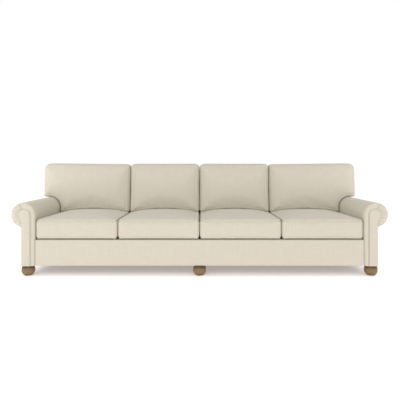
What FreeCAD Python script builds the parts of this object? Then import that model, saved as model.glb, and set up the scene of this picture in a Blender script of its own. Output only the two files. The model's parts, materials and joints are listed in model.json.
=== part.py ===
import FreeCAD, Part
import math
import os

import Sketcher

# A four-seat rolled arm sofa, in millimetres.
# +X is the viewer's right, +Y is the back, +Z is up, and the origin is on the floor at the middle.

doc = FreeCAD.newDocument("rolled_arm_sofa")
Vector = FreeCAD.Vector
NODES = []

# Driving sizes: each row is a cell's alias and its number
SIZES = [
    ("overall_width", 3048),
    ("overall_depth", 960),
    ("overall_height", 908),
    # Arms
    ("arm_height", 592),
    ("roll_diameter", 196),
    ("arm_thickness", 106),
    ("arm_pad_thickness", 35),
    ("front_panel_thickness", 8),
    ("front_cap_thickness", 6),
    ("front_pad_depth", 30),
    ("front_edge_radius", 28),
    ("panel_head_diameter", 93),
    ("panel_neck_radius", 100),
    ("welt_diameter", 7),
    ("skin_thickness", 6),
    ("arm_rail_width", 60),
    ("arm_rail_height", 30),
    ("backing_board_thickness", 6),
    # Base
    ("foot_height", 82),
    ("deck_height", 295),
    ("deck_thickness", 18),
    ("dust_cover_thickness", 1),
    ("rail_thickness", 26),
    ("side_rail_thickness", 26),
    ("apron_setback", 12),
    ("apron_edge_radius", 14),
    ("stretcher_thickness", 26),
    ("stretcher_height", 130),
    ("stretcher_drop", 12),
    ("corner_block_leg", 90),
    ("corner_block_height", 60),
    ("screw_diameter", 6),
    ("screw_length", 85),
    ("screw_head_diameter", 12),
    ("screw_head_height", 4),
    # Springs under the seat
    ("springs_per_seat", 4),
    ("spring_rungs", 21),
    ("spring_width", 50),
    ("spring_wire", 3.8),
    ("tie_wire", 2.4),
    ("tie_end_inset", 10),
    ("clip_base", 0.8),
    ("clip_length", 12),
    # Back frame
    ("back_rake", 6),
    ("back_frame_height", 840),
    ("back_frame_depth", 164),
    ("back_rail_thickness", 22),
    ("back_rail_height", 80),
    ("back_pad_thickness", 25),
    ("back_top_pad", 20),
    ("back_top_radius", 18),
    ("upright_thickness", 40),
    ("web_width", 50),
    ("web_thickness", 2.5),
    ("webs_per_seat", 3),
    # Cushions
    ("cushion_gap", 8),
    ("seat_setback", 18),
    ("seat_edge", 147),
    ("seat_underside_roll", 28),
    ("seat_underside_inset", 22),
    ("seat_crown", 50),
    ("seat_corner_radius", 24),
    ("back_cushion_edge", 160),
    ("back_cushion_crown", 45),
    ("back_cushion_roll", 16),
    ("back_cushion_lift", 15),
    ("back_cushion_arch", 34),
    ("back_corner_radius", 34),
    ("ear_reach", 150),
    ("ear_clearance", 9),
    ("side_draw", 4),
    ("cover_thickness", 2.5),
    # Feet
    ("foot_diameter", 106),
    ("foot_inset", 16),
    ("foot_top_diameter", 90),
    ("foot_base_diameter", 66),
    ("foot_base_height", 2),
    ("foot_base_step", 1.5),
    ("foot_belly_share", 0.46),
    ("glide_diameter", 34),
    ("glide_height", 3),
    ("foot_bolt_diameter", 8),
    ("foot_bolt_length", 64),
    ("insert_diameter", 13),
    ("insert_length", 28),
    # Fits
    ("seat_fit", 0.4),
    ("bore_fit", 0.2),
    ("cut_overshoot", 1),
]

sheet = doc.addObject("Spreadsheet::Sheet", "dims")
for row, (alias, number) in enumerate(SIZES, start=1):
    sheet.set(f"A{row}", alias)
    sheet.set(f"B{row}", str(number))
    sheet.setAlias(f"B{row}", alias)
doc.recompute()

# Places worked out from the driving sizes, each used by several pieces
PLACES = [
    ("half_width", "dims.overall_width / 2"),
    ("front_y", "-dims.overall_depth / 2"),
    ("back_y", "dims.overall_depth / 2"),
    ("roll_radius", "dims.roll_diameter / 2"),
    ("roll_x", "half_width - roll_radius"),
    ("roll_z", "dims.arm_height - roll_radius"),
    ("arm_inner_x", "half_width - dims.roll_diameter"),
    ("arm_outer_x", "arm_inner_x + dims.arm_thickness"),
    ("wood_outer_x", "arm_outer_x - dims.skin_thickness"),
    ("stem_inner_x", "arm_inner_x + dims.arm_pad_thickness"),
    ("head_radius", "dims.panel_head_diameter / 2"),
    ("head_x", "stem_inner_x + head_radius"),
    ("side_rail_x", "wood_outer_x - dims.side_rail_thickness"),
    ("cell_width", "arm_inner_x / 2"),
    # Layers from the front, behind each other
    ("cap_y", "front_y + dims.front_panel_thickness"),
    ("post_y", "cap_y + dims.front_cap_thickness"),
    ("rail_y", "cap_y + dims.front_pad_depth"),
    ("rail_back_y", "rail_y + dims.rail_thickness"),
    ("foot_front_y", "rail_y + dims.foot_inset"),
    ("foot_x", "(stem_inner_x + wood_outer_x) / 2"),
    # Levels from the floor up
    ("base_z", "dims.foot_height + dims.dust_cover_thickness"),
    ("deck_z", "dims.deck_height - dims.deck_thickness"),
    ("tie_z", "deck_z - dims.seat_fit - dims.tie_wire / 2"),
    ("wire_z", "tie_z - dims.tie_wire / 2 - dims.bore_fit - dims.spring_wire / 2"),
    ("rail_top_z", "wire_z - dims.spring_wire / 2 - dims.clip_base"),
    ("rail_height", "rail_top_z - base_z"),
    ("seat_seam_z", "dims.deck_height + dims.seat_edge"),
    # The raked back: layers counted forwards from the posts' raked front edges
    ("slope", "tan(dims.back_rake * 1 deg)"),
    ("rake_cos", "cos(dims.back_rake * 1 deg)"),
    ("rake_sin", "sin(dims.back_rake * 1 deg)"),
    ("back_wood_y", "back_y - dims.skin_thickness"),
    ("back_frame_y", "back_wood_y - dims.back_frame_depth"),
    ("back_rail_y", "back_frame_y - dims.rail_thickness"),
    ("foot_back_y", "back_wood_y - dims.foot_diameter / 2 + dims.skin_thickness"),
    ("web_reach", "dims.back_rail_thickness + dims.web_thickness + dims.bore_fit"),
    ("pad_rear_reach", "web_reach + dims.seat_fit"),
    ("pad_front_reach", "pad_rear_reach + dims.back_pad_thickness"),
    ("inside_back_y", "back_frame_y - pad_front_reach / rake_cos"),
    ("back_board_z", "dims.back_frame_height - dims.back_top_pad - dims.seat_fit"),
    ("post_top_z", "back_board_z - dims.rail_thickness"),
    ("post_top_y", "back_frame_y + (post_top_z - dims.deck_height) * slope"),
    ("shoulder_z", "dims.arm_height + dims.ear_clearance / 2"),
    ("shoulder_y", "back_frame_y + (shoulder_z - dims.deck_height) * slope"),
    # Cushions
    ("back_cushion_z", "seat_seam_z + dims.back_cushion_lift"),
    ("seat_front_y", "front_y + dims.seat_setback"),
    ("seat_back_y", "inside_back_y - dims.seat_fit"),
]

at = doc.addObject("App::VarSet", "at")
for name, expression in PLACES:
    at.addProperty("App::PropertyFloat", name)
    at.setExpression(name, expression)
doc.recompute()


def size(alias):
    return float(sheet.get(alias))


def place(name):
    return float(getattr(at, name))


SEATS = 4
SIDES = (("left", -1), ("right", 1))


# Helpers that make one bound object each


def keep(piece, label):
    """Marks an object as a piece of the sofa, which is written to its own file."""
    piece.Label = label
    NODES.append(piece)
    return piece


def bind_place(piece, x, y, z):
    for axis, expression in zip("xyz", (x, y, z)):
        piece.setExpression(f"Placement.Base.{axis}", str(expression))


def board(name, length, width, height, x, y, z):
    """A squared board with its low corner at x, y, z."""
    box = doc.addObject("Part::Box", name)
    box.setExpression("Length", length)
    box.setExpression("Width", width)
    box.setExpression("Height", height)
    bind_place(box, x, y, z)
    return box


def side_board(name, side, inner, outer, width, height, y, z):
    """A board of one arm, between two distances from the middle of the sofa."""
    low_x = inner if side > 0 else f"-({outer})"
    return board(name, f"({outer}) - ({inner})", width, height, low_x, y, z)


def rod(name, diameter, length, x, y, z, along="z"):
    """A round rod from x, y, z along one axis."""
    cylinder = doc.addObject("Part::Cylinder", name)
    cylinder.setExpression("Radius", f"({diameter}) / 2")
    cylinder.setExpression("Height", length)
    turn = {"x": (Vector(0, 1, 0), 90), "y": (Vector(1, 0, 0), -90), "z": (Vector(0, 0, 1), 0)}[along]
    cylinder.Placement = FreeCAD.Placement(Vector(), FreeCAD.Rotation(*turn))
    bind_place(cylinder, x, y, z)
    return cylinder


def cut(name, base, tools):
    tool = tools[0]
    if len(tools) > 1:
        tool = fuse(name + "_tools", tools)
    result = doc.addObject("Part::Cut", name)
    result.Base = base
    result.Tool = tool
    return result


def fuse(name, shapes):
    result = doc.addObject("Part::MultiFuse", name)
    result.Shapes = shapes
    return result


def group(name, members):
    result = doc.addObject("Part::Compound", name)
    result.Links = members
    return result


def solid(name, shape):
    """A piece that no feature makes, from its finished shape."""
    feature = doc.addObject("Part::Feature", name)
    feature.Shape = shape
    feature.Placement = FreeCAD.Placement()
    return feature


def new_body(name, x="0", y="0", z="0"):
    body = doc.addObject("PartDesign::Body", name)
    bind_place(body, x, y, z)
    return body


def new_sketch(body, name, role):
    sketch = body.newObject("Sketcher::SketchObject", name)
    plane = [feature for feature in body.Origin.OriginFeatures if feature.Role == role][0]
    sketch.AttachmentSupport = [(plane, "")]
    sketch.MapMode = "FlatFace"
    return sketch


reckoner = doc.addObject("App::VarSet", "reckoner")
reckoner.addProperty("App::PropertyFloat", "answer")


def number(expression):
    """The value of an expression on the sheet and the places, as a plain number."""
    reckoner.setExpression("answer", expression)
    reckoner.recompute()
    return float(reckoner.answer)


def fix_point(sketch, geometry, end, point):
    """Binds one end of a line to an x and a y expression, measured from the sketch's origin."""
    for kind, axis, expression in (("DistanceX", -2, point[0]), ("DistanceY", -1, point[1])):
        if expression == "0":
            sketch.addConstraint(Sketcher.Constraint("PointOnObject", geometry, end, axis))
            continue
        index = sketch.addConstraint(Sketcher.Constraint(kind, -1, 1, geometry, end, number(expression)))
        sketch.setExpression(f"Constraints[{index}]", expression)


def arc_between(start, end, radius, turns_left):
    """A short arc from start to end; turning left keeps its centre on the left hand."""
    chord = end.sub(start)
    rise = math.sqrt(max(radius**2 - (chord.Length / 2) ** 2, 0))
    normal = Vector(-chord.y, chord.x, 0).normalize()
    centre = start.add(chord.multiply(0.5)).add(normal.multiply(rise if turns_left else -rise))
    first, last = (start, end) if turns_left else (end, start)
    angles = [math.atan2(p.y - centre.y, p.x - centre.x) for p in (first, last)]
    circle = Part.Circle(centre, Vector(0, 0, 1), radius)
    return Part.ArcOfCircle(circle, angles[0], angles[1])


def outline(sketch, points, arcs=None):
    """A closed outline through bound points. arcs maps a side to its radius and its turn."""
    arcs = arcs or {}
    corners = [Vector(number(x), number(y), 0) for x, y in points]
    count = len(points)
    ends = {}
    for side in range(count):
        start, end = corners[side], corners[(side + 1) % count]
        if side in arcs:
            radius, turns_left = arcs[side]
            geometry = arc_between(start, end, number(radius), turns_left)
            ends[side] = (1, 2) if turns_left else (2, 1)
        else:
            geometry = Part.LineSegment(start, end)
            ends[side] = (1, 2)
        sketch.addGeometry(geometry)
    for side in range(count):
        after = (side + 1) % count
        sketch.addConstraint(Sketcher.Constraint("Coincident", side, ends[side][1], after, ends[after][0]))
    for side, point in enumerate(points):
        fix_point(sketch, side, ends[side][0], point)
    for side, (radius, _) in arcs.items():
        index = sketch.addConstraint(Sketcher.Constraint("Radius", side, number(radius)))
        sketch.setExpression(f"Constraints[{index}]", radius)


def round_outline(sketch, x, y, radius):
    """A circle in four quarters, so that its joins fall where a straight side touches it."""
    points = [
        (f"{x} - ({radius})", y), (x, f"{y} + ({radius})"),
        (f"{x} + {radius}", y), (x, f"{y} - ({radius})"),
    ]
    outline(sketch, points, {quarter: (radius, False) for quarter in range(4)})


def pad(body, sketch, length, reverse=False, middle=False):
    feature = body.newObject("PartDesign::Pad", sketch.Name + "_pad")
    feature.Profile = sketch
    feature.setExpression("Length", length)
    feature.Reversed = reverse
    feature.Midplane = middle
    doc.recompute()
    return feature


def pocket(body, sketch, length, reverse=False, middle=False):
    before = body.Shape.Volume
    feature = body.newObject("PartDesign::Pocket", sketch.Name + "_pocket")
    feature.Profile = sketch
    feature.setExpression("Length", length)
    feature.Reversed = reverse
    feature.Midplane = middle
    doc.recompute()
    if body.Shape.Volume >= before:
        raise RuntimeError(f"{feature.Name} removed nothing")
    return feature


def revolve(body, sketch):
    """Turns a profile a full circle about its sketch's upright axis."""
    feature = body.newObject("PartDesign::Revolution", sketch.Name + "_turned")
    feature.Profile = sketch
    feature.ReferenceAxis = (sketch, ["V_Axis"])
    feature.Angle = 360
    doc.recompute()
    return feature


def round_edges(body, feature, radius, wanted):
    """Rounds the edges of a feature whose middle point, measured in its body, passes a test."""
    names = []
    for index, edge in enumerate(feature.Shape.Edges, start=1):
        middle = edge.valueAt((edge.FirstParameter + edge.LastParameter) / 2)
        if wanted(edge, middle):
            names.append(f"Edge{index}")
    if not names:
        raise RuntimeError(f"{feature.Name} has no edge to round")
    fillet = body.newObject("PartDesign::Fillet", feature.Name + "_round")
    fillet.Base = (feature, names)
    fillet.setExpression("Radius", radius)
    doc.recompute()
    return fillet


SAME_PLACE = 0.01


def close_to(a, b):
    return abs(a - b) < SAME_PLACE


# Seat frame


def screw_places():
    """X and Z of the screws that hold the stretchers, two at each end of each stretcher."""
    middle = "at.rail_top_z - dims.stretcher_drop - dims.stretcher_height / 2"
    for column in (-1, 0, 1):
        for row in (-1, 1):
            yield f"{column} * at.cell_width", f"{middle} + {row} * dims.stretcher_height / 4"


def screw(name, x, y, z, forward, fit="0"):
    """A screw's shank and round head, or with a fit the hole for it."""
    shank_y = y if forward else f"{y} - dims.screw_length"
    head_y = y if forward else f"{y} - dims.screw_head_height"
    shank = rod(name + "_shank", f"dims.screw_diameter + {fit}", "dims.screw_length", x, shank_y, z, "y")
    head_diameter = f"dims.screw_head_diameter + {fit}"
    head = rod(name + "_head", head_diameter, "dims.screw_head_height", x, head_y, z, "y")
    return fuse(name, [shank, head])


def screw_set(name, fit="0"):
    """The screws of both rails, driven backwards from the front and forwards from the rear."""
    screws = []
    for index, (x, z) in enumerate(screw_places()):
        screws.append(screw(f"{name}_front_{index}", x, "at.rail_y", z, True, fit))
        screws.append(screw(f"{name}_rear_{index}", x, "at.back_frame_y", z, False, fit))
    return screws


def foot_places():
    """The name and the X and Y of each foot."""
    for row, y in (("front", "at.foot_front_y"), ("rear", "at.foot_back_y")):
        for column, x in (("left", "-at.foot_x"), ("centre", "0"), ("right", "at.foot_x")):
            yield f"{row}_{column}", x, y


def insert_bore(name):
    """The hole for one foot's threaded insert, upwards from under the frame."""
    x, y = {foot: (x, y) for foot, x, y in foot_places()}[name]
    return rod(
        "insert_bore_" + name,
        "dims.insert_diameter + 2 * dims.bore_fit",
        "dims.insert_length + dims.foot_bolt_length / 4",
        x,
        y,
        "at.base_z",
    )


holes = group("screw_holes", screw_set("screw_hole", "2 * dims.bore_fit"))

front_blank = board(
    "front_rail_blank", "2 * at.stem_inner_x", "dims.rail_thickness", "at.rail_height",
    "-at.stem_inner_x", "at.rail_y", "at.base_z",
)
keep(cut("front_seat_rail", cut("front_rail_bored", front_blank, [holes]), [insert_bore("front_centre")]),
     "front_seat_rail")

back_blank = board(
    "back_rail_blank", "2 * at.side_rail_x", "dims.rail_thickness", "at.rail_height",
    "-at.side_rail_x", "at.back_rail_y", "at.base_z",
)
keep(cut("back_seat_rail", back_blank, [holes]), "back_seat_rail")

for name, side in SIDES:
    rail = side_board(
        f"side_rail_{name}", side, "at.side_rail_x", "at.wood_outer_x",
        "at.back_frame_y - at.rail_back_y", "at.rail_height", "at.rail_back_y", "at.base_z",
    )
    keep(rail, f"side_seat_rail_{name}")

stretchers = []
for column in (-1, 0, 1):
    stretchers.append(board(
        f"stretcher_{column + 2}", "dims.stretcher_thickness", "at.back_rail_y - at.rail_back_y",
        "dims.stretcher_height", f"{column} * at.cell_width - dims.stretcher_thickness / 2",
        "at.rail_back_y", "at.rail_top_z - dims.stretcher_drop - dims.stretcher_height",
    ))
keep(cut("stretchers_bored", group("stretcher_blanks", stretchers), [holes]), "seat_stretchers")

keep(group("frame_screws", screw_set("screw")), "frame_screws")


def corner_block(name, side, at_front):
    """A triangular block glued into one inner corner of the seat frame."""
    y = "at.rail_back_y" if at_front else "at.back_rail_y"
    body = new_body(name, f"{side} * at.side_rail_x", y, "at.base_z")
    sketch = new_sketch(body, name + "_outline", "XY_Plane")
    inward = f"{-side} * dims.corner_block_leg"
    along = "dims.corner_block_leg" if at_front else "-dims.corner_block_leg"
    outline(sketch, [("0", "0"), (inward, "0"), ("0", along)])
    pad(body, sketch, "dims.corner_block_height")
    return body


blocks = []
for name, side in SIDES:
    for end in ("front", "rear"):
        blocks.append(corner_block(f"corner_block_{end}_{name}", side, end == "front"))
keep(group("corner_blocks", blocks), "corner_blocks")


# Springs: a flat zigzag of wire, held down at both ends by clips on the rails


def spring_columns():
    count = int(size("springs_per_seat")) * SEATS
    pitch = 2 * place("arm_inner_x") / count
    return [(index + 0.5) * pitch - place("arm_inner_x") for index in range(count)]


def spring_ends():
    inset = size("rail_thickness") / 2
    return place("rail_y") + inset, place("back_rail_y") + inset


def zigzag():
    """One spring on the middle line: straight rungs across, joined by half turns."""
    first, last = spring_ends()
    rungs = int(size("spring_rungs"))
    pitch = (last - first) / (rungs - 1)
    reach = (size("spring_width") - pitch) / 2
    edges = []
    for rung in range(rungs):
        y = first + rung * pitch
        side = 1 if rung % 2 == 0 else -1
        z = place("wire_z")
        start = Vector(-side * reach, y, z)
        end = Vector(side * reach, y, z)
        edges.append(Part.LineSegment(start, end).toShape())
        if rung < rungs - 1:
            bend = Vector(side * (reach + pitch / 2), y + pitch / 2, z)
            onward = Vector(side * reach, y + pitch, z)
            edges.append(Part.Arc(end, bend, onward).toShape())
    path = Part.Wire(edges)
    start = path.Edges[0].valueAt(path.Edges[0].FirstParameter)
    ring = Part.Wire(Part.makeCircle(size("spring_wire") / 2, start, Vector(1, 0, 0)))
    return path.makePipeShell([ring], True, False)


one_spring = zigzag()
springs = [one_spring.translated(Vector(x, 0, 0)) for x in spring_columns()]
keep(solid("seat_springs", Part.makeCompound(springs)), "seat_springs")


def clip(name, x, y):
    """A clip over one end rung, with a square tunnel for the wire."""
    width = "(3 * dims.spring_wire)"
    height = "at.wire_z + dims.spring_wire / 2 + dims.clip_base - at.rail_top_z"
    bore = "(dims.spring_wire + 2 * dims.bore_fit)"
    block = board(
        f"clip_block_{name}", "dims.clip_length", width, height,
        f"{x} - dims.clip_length / 2", f"{y} - {width} / 2", "at.rail_top_z",
    )
    tunnel = board(
        f"clip_tunnel_{name}", "2 * dims.clip_length", bore, bore,
        f"{x} - dims.clip_length", f"{y} - {bore} / 2", f"at.wire_z - {bore} / 2",
    )
    return cut(f"clip_{name}", block, [tunnel])


clips = []
for index, x in enumerate(spring_columns()):
    share = x / place("arm_inner_x")
    for end, y in (("front", "at.rail_y"), ("rear", "at.back_rail_y")):
        middle = f"({y} + dims.rail_thickness / 2)"
        clips.append(clip(f"{end}_{index}", f"{share} * at.arm_inner_x", middle))
keep(group("clips", clips), "spring_clips")

ties = []
for index, share in enumerate((1, 2)):
    ties.append(rod(
        f"tie_{index}", "dims.tie_wire", "2 * (at.arm_inner_x - dims.tie_end_inset)",
        "-at.arm_inner_x + dims.tie_end_inset",
        f"at.rail_back_y + (at.back_rail_y - at.rail_back_y) * {share} / 3", "at.tie_z", "x",
    ))
keep(group("tie_wires", ties), "spring_tie_wires")

deck = board(
    "deck", "2 * (at.arm_inner_x - dims.seat_fit)", "at.inside_back_y - at.rail_y - dims.seat_fit",
    "dims.deck_thickness", "-at.arm_inner_x + dims.seat_fit", "at.rail_y", "at.deck_z",
)
keep(deck, "seat_deck")


def front_rail_cover():
    """The padded apron: a block with its top and bottom front edges rounded."""
    body = new_body("front_rail_cover", "0", "at.front_y + dims.apron_setback", "0")
    sketch = new_sketch(body, "apron_face", "XZ_Plane")
    reach = "at.arm_inner_x - dims.seat_fit"
    low, high = "dims.foot_height", "dims.deck_height"
    outline(sketch, [(f"-({reach})", low), (reach, low), (reach, high), (f"-({reach})", high)])
    face = pad(body, sketch, "at.rail_y - at.front_y - dims.apron_setback", reverse=True)
    round_edges(
        body, face, "dims.apron_edge_radius",
        lambda edge, middle: close_to(middle.y, 0) and close_to(middle.x, 0),
    )
    return body


keep(front_rail_cover(), "front_rail_cover")


# Arms


def keyhole_points(side, inset, low):
    """The keyhole outline of an arm's front, drawn in by an inset: points, and arcs by side."""
    radius = f"(at.head_radius - {inset})"
    inner = f"(at.stem_inner_x + {inset})"
    outer = f"(at.arm_outer_x - {inset})"
    neck = f"(dims.panel_neck_radius + {inset})"
    reach = f"({outer} - at.head_x + {neck})"
    drop = f"sqrt(({radius} + {neck}) ^ 2 - {reach} ^ 2)"
    share = f"({radius} / ({radius} + {neck}))"
    points = [
        (inner, low),
        (inner, "at.roll_z"),
        ("at.head_x", f"at.roll_z + {radius}"),
        (f"at.head_x + {radius}", "at.roll_z"),
        (f"at.head_x + {reach} * {share}", f"at.roll_z - {drop} * {share}"),
        (outer, f"at.roll_z - {drop}"),
        (outer, low),
    ]
    turns_left = side < 0
    arcs = {1: (radius, turns_left), 2: (radius, turns_left), 3: (radius, turns_left)}
    arcs[4] = (neck, not turns_left)
    return [(f"{side} * ({x})", y) for x, y in points], arcs


def arm_front_post(name, side):
    """The stout post at the front of an arm, with a round head inside the roll."""
    body = new_body(f"post_{name}", "0", "at.post_y", "0")
    length = "at.rail_back_y - at.post_y"
    stem = new_sketch(body, f"post_stem_{name}", "XZ_Plane")
    inner, outer = f"{side} * at.stem_inner_x", f"{side} * at.wood_outer_x"
    corners = [(inner, "at.base_z"), (outer, "at.base_z"), (outer, "at.roll_z"), (inner, "at.roll_z")]
    outline(stem, corners)
    pad(body, stem, length, reverse=True)
    head = new_sketch(body, f"post_head_{name}", "XZ_Plane")
    round_outline(head, f"{side} * at.head_x", "at.roll_z", "at.head_radius - dims.seat_fit")
    pad(body, head, length, reverse=True)
    return cut(f"post_bored_{name}", body, [insert_bore(f"front_{name}")])


def arm_pad(name, side):
    """The padding round an arm's frame: the roll, the inside of the arm and the rounded front."""
    body = new_body(f"pad_{name}", "0", "at.cap_y", "0")
    length = "(at.back_wood_y - at.cap_y)"
    bend = "dims.front_edge_radius"
    roll = new_sketch(body, f"roll_{name}", "XY_Plane")
    roll.setExpression("AttachmentOffset.Base.x", f"{side} * at.roll_x")
    roll.setExpression("AttachmentOffset.Base.z", "at.roll_z")
    reach = f"{-side} * at.roll_radius"
    short = f"{-side} * (at.roll_radius - {bend})"
    profile = [("0", "0"), (short, "0"), (reach, bend), (reach, length), ("0", length)]
    outline(roll, profile, {1: (bend, side < 0)})
    revolve(body, roll)
    wall = new_sketch(body, f"wall_{name}", "XY_Plane")
    wall.setExpression("AttachmentOffset.Base.z", "dims.foot_height")
    inner, outer = f"{side} * at.arm_inner_x", f"{side} * at.arm_outer_x"
    turned = f"{side} * (at.arm_inner_x + {bend})"
    plan = [(inner, bend), (turned, "0"), (outer, "0"), (outer, length), (inner, length)]
    outline(wall, plan, {0: (bend, side > 0)})
    pad(body, wall, "at.roll_z - dims.foot_height")
    hollow(body, name, side)
    return body


def hollow(body, name, side):
    """Clears an arm pad for the frame inside it: the stem, the head, the seat frame and the back post."""
    stem_inner = f"{side} * at.stem_inner_x"
    beyond = f"{side} * (at.arm_outer_x + dims.cut_overshoot)"
    behind_cap = "dims.front_cap_thickness"
    deep = "dims.overall_depth"
    stem = new_sketch(body, f"stem_space_{name}", "XZ_Plane")
    stem.setExpression("AttachmentOffset.Base.z", f"-{behind_cap}")
    low = "dims.foot_height - dims.cut_overshoot"
    outer = f"{side} * at.arm_outer_x"
    outline(stem, [(stem_inner, low), (beyond, low), (beyond, "at.roll_z - at.roll_radius"),
                   (outer, "at.roll_z - at.roll_radius"), (outer, "at.roll_z"), (stem_inner, "at.roll_z")])
    pocket(body, stem, deep)
    head = new_sketch(body, f"head_space_{name}", "XZ_Plane")
    head.setExpression("AttachmentOffset.Base.z", f"-{behind_cap}")
    round_outline(head, f"{side} * at.head_x", "at.roll_z", "at.head_radius")
    pocket(body, head, deep)
    seat = new_sketch(body, f"seat_space_{name}", "XZ_Plane")
    seat.setExpression("AttachmentOffset.Base.z", "-dims.front_pad_depth + dims.seat_fit")
    top = "at.rail_top_z + dims.seat_fit"
    near = f"{side} * (at.arm_inner_x - dims.cut_overshoot)"
    across = f"{side} * (at.stem_inner_x + dims.cut_overshoot)"
    outline(seat, [(near, low), (across, low), (across, top), (near, top)])
    pocket(body, seat, deep)
    slot = new_sketch(body, f"post_space_{name}", "XZ_Plane")
    slot.setExpression("AttachmentOffset.Base.z", "at.cap_y - at.back_frame_y + dims.seat_fit")
    edges = [f"{side} * (at.stem_inner_x - dims.seat_fit)", f"{side} * (at.wood_outer_x + dims.seat_fit)"]
    levels = ["at.roll_z", "dims.arm_height + dims.cut_overshoot"]
    outline(slot, [
        (edges[0], levels[0]), (edges[1], levels[0]), (edges[1], levels[1]), (edges[0], levels[1]),
    ])
    pocket(body, slot, deep)


def arm_front_panel(name, side):
    """The keyhole panel on the front of an arm, with room for the welt round it."""
    body = new_body(f"panel_{name}", "0", "at.front_y", "0")
    sketch = new_sketch(body, f"panel_outline_{name}", "XZ_Plane")
    outline(sketch, *keyhole_points(side, "(dims.welt_diameter + dims.bore_fit)", "dims.foot_height"))
    pad(body, sketch, "dims.front_panel_thickness", reverse=True)
    return body


def arm_welt(name, side):
    """The cord sewn round the front panel, up one edge, over the head and down the other."""
    radius = size("welt_diameter") / 2
    points, arcs = keyhole_points(side, "dims.welt_diameter / 2", "dims.foot_height")
    y = place("cap_y") - radius
    corners = [Vector(number(x), y, number(z)) for x, z in points]
    edges = []
    for index in range(len(corners) - 1):
        start, end = corners[index], corners[index + 1]
        if index in arcs:
            bend, left = number(arcs[index][0]), arcs[index][1]
            flat = arc_between(Vector(start.x, start.z, 0), Vector(end.x, end.z, 0), bend, left)
            middle = flat.value((flat.FirstParameter + flat.LastParameter) / 2)
            edges.append(Part.Arc(start, Vector(middle.x, y, middle.y), end).toShape())
        else:
            edges.append(Part.LineSegment(start, end).toShape())
    ring = Part.Wire(Part.makeCircle(radius, corners[0], Vector(0, 0, 1)))
    return solid(f"welt_{name}", Part.Wire(edges).makePipeShell([ring], True, False))


for name, side in SIDES:
    keep(arm_front_post(name, side), f"arm_front_post_{name}")
    keep(side_board(
        f"arm_rail_{name}", side,
        "at.head_x - dims.arm_rail_width / 2", "at.head_x + dims.arm_rail_width / 2",
        "at.back_frame_y - at.rail_back_y", "dims.arm_rail_height", "at.rail_back_y",
        "at.roll_z - dims.arm_rail_height / 2",
    ), f"arm_top_rail_{name}")
    keep(arm_pad(name, side), f"arm_pad_{name}")
    keep(side_board(
        f"arm_outside_{name}", side, "at.wood_outer_x", "at.arm_outer_x",
        "at.back_wood_y - at.post_y", "at.roll_z - at.roll_radius - dims.foot_height", "at.post_y",
        "dims.foot_height",
    ), f"outside_arm_panel_{name}")
    keep(arm_front_panel(name, side), f"arm_front_panel_{name}")
    keep(arm_welt(name, side), f"arm_welt_{name}")

backing_boards = []
for name, side in SIDES:
    backing_boards.append(side_board(
        f"backing_{name}", side, "at.stem_inner_x", "(at.stem_inner_x + dims.backing_board_thickness)",
        "at.back_frame_y - at.rail_back_y", "at.roll_z - dims.arm_rail_height - at.rail_top_z",
        "at.rail_back_y", "at.rail_top_z",
    ))
keep(group("backing_boards", backing_boards), "arm_backing_boards")


# Back


def back_post(name, side):
    """An outer back post: upright beside the arm, then stepped back to the rake above it."""
    inner = "at.stem_inner_x" if side > 0 else "-at.wood_outer_x"
    body = new_body(f"rear_post_{name}", inner, "0", "0")
    sketch = new_sketch(body, f"rear_post_side_{name}", "YZ_Plane")
    outline(sketch, [
        ("at.back_frame_y", "at.base_z"), ("at.back_wood_y", "at.base_z"),
        ("at.back_wood_y", "at.post_top_z"), ("at.post_top_y", "at.post_top_z"),
        ("at.shoulder_y", "at.shoulder_z"), ("at.back_frame_y", "at.shoulder_z"),
    ])
    pad(body, sketch, "at.wood_outer_x - at.stem_inner_x")
    return cut(f"rear_post_bored_{name}", body, [insert_bore(f"rear_{name}")])


def back_upright(name, column):
    """An inner upright, raked above the seat deck."""
    body = new_body(f"upright_{name}", f"{column} * at.cell_width - dims.upright_thickness / 2", "0", "0")
    sketch = new_sketch(body, f"upright_side_{name}", "YZ_Plane")
    outline(sketch, [
        ("at.back_frame_y", "at.base_z"), ("at.back_wood_y", "at.base_z"),
        ("at.back_wood_y", "at.post_top_z"), ("at.post_top_y", "at.post_top_z"),
        ("at.back_frame_y", "dims.deck_height"),
    ])
    pad(body, sketch, "dims.upright_thickness")
    return body


for name, side in SIDES:
    keep(back_post(name, side), f"back_post_{name}")

uprights = [back_upright(name, column) for name, column in (("left", -1), ("centre", 0), ("right", 1))]
keep(cut("uprights_bored", group("uprights", uprights), [insert_bore("rear_centre")]), "back_uprights")


def raked_board(name, length, thickness, height, x, reach, rise):
    """A board lying along the rake: reach is how far its front is before the posts' raked edges."""
    box = doc.addObject("Part::Box", name)
    box.setExpression("Length", length)
    box.setExpression("Width", thickness)
    box.setExpression("Height", height)
    box.Placement = FreeCAD.Placement(Vector(), FreeCAD.Rotation(Vector(1, 0, 0), -size("back_rake")))
    box.setExpression("Placement.Rotation.Angle", "dims.back_rake")
    box.Placement.Rotation.Axis = Vector(-1, 0, 0)
    y = f"at.back_frame_y - ({reach}) * at.rake_cos + ({rise}) * at.rake_sin"
    z = f"dims.deck_height + ({reach}) * at.rake_sin + ({rise}) * at.rake_cos"
    bind_place(box, x, y, z)
    return box


lower_rail = raked_board(
    "back_lower_rail", "2 * (at.arm_inner_x - dims.seat_fit)", "dims.back_rail_thickness",
    "dims.back_rail_height", "-at.arm_inner_x + dims.seat_fit", "dims.back_rail_thickness", "0",
)
keep(lower_rail, "back_lower_rail")

top_front = "(at.post_top_y - dims.back_rail_thickness / at.rake_cos)"
top_rail = board(
    "back_top_rail", "2 * at.wood_outer_x", f"at.back_wood_y - {top_front}", "dims.rail_thickness",
    "-at.wood_outer_x", top_front, "at.post_top_z",
)
keep(top_rail, "back_top_rail")

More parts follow.
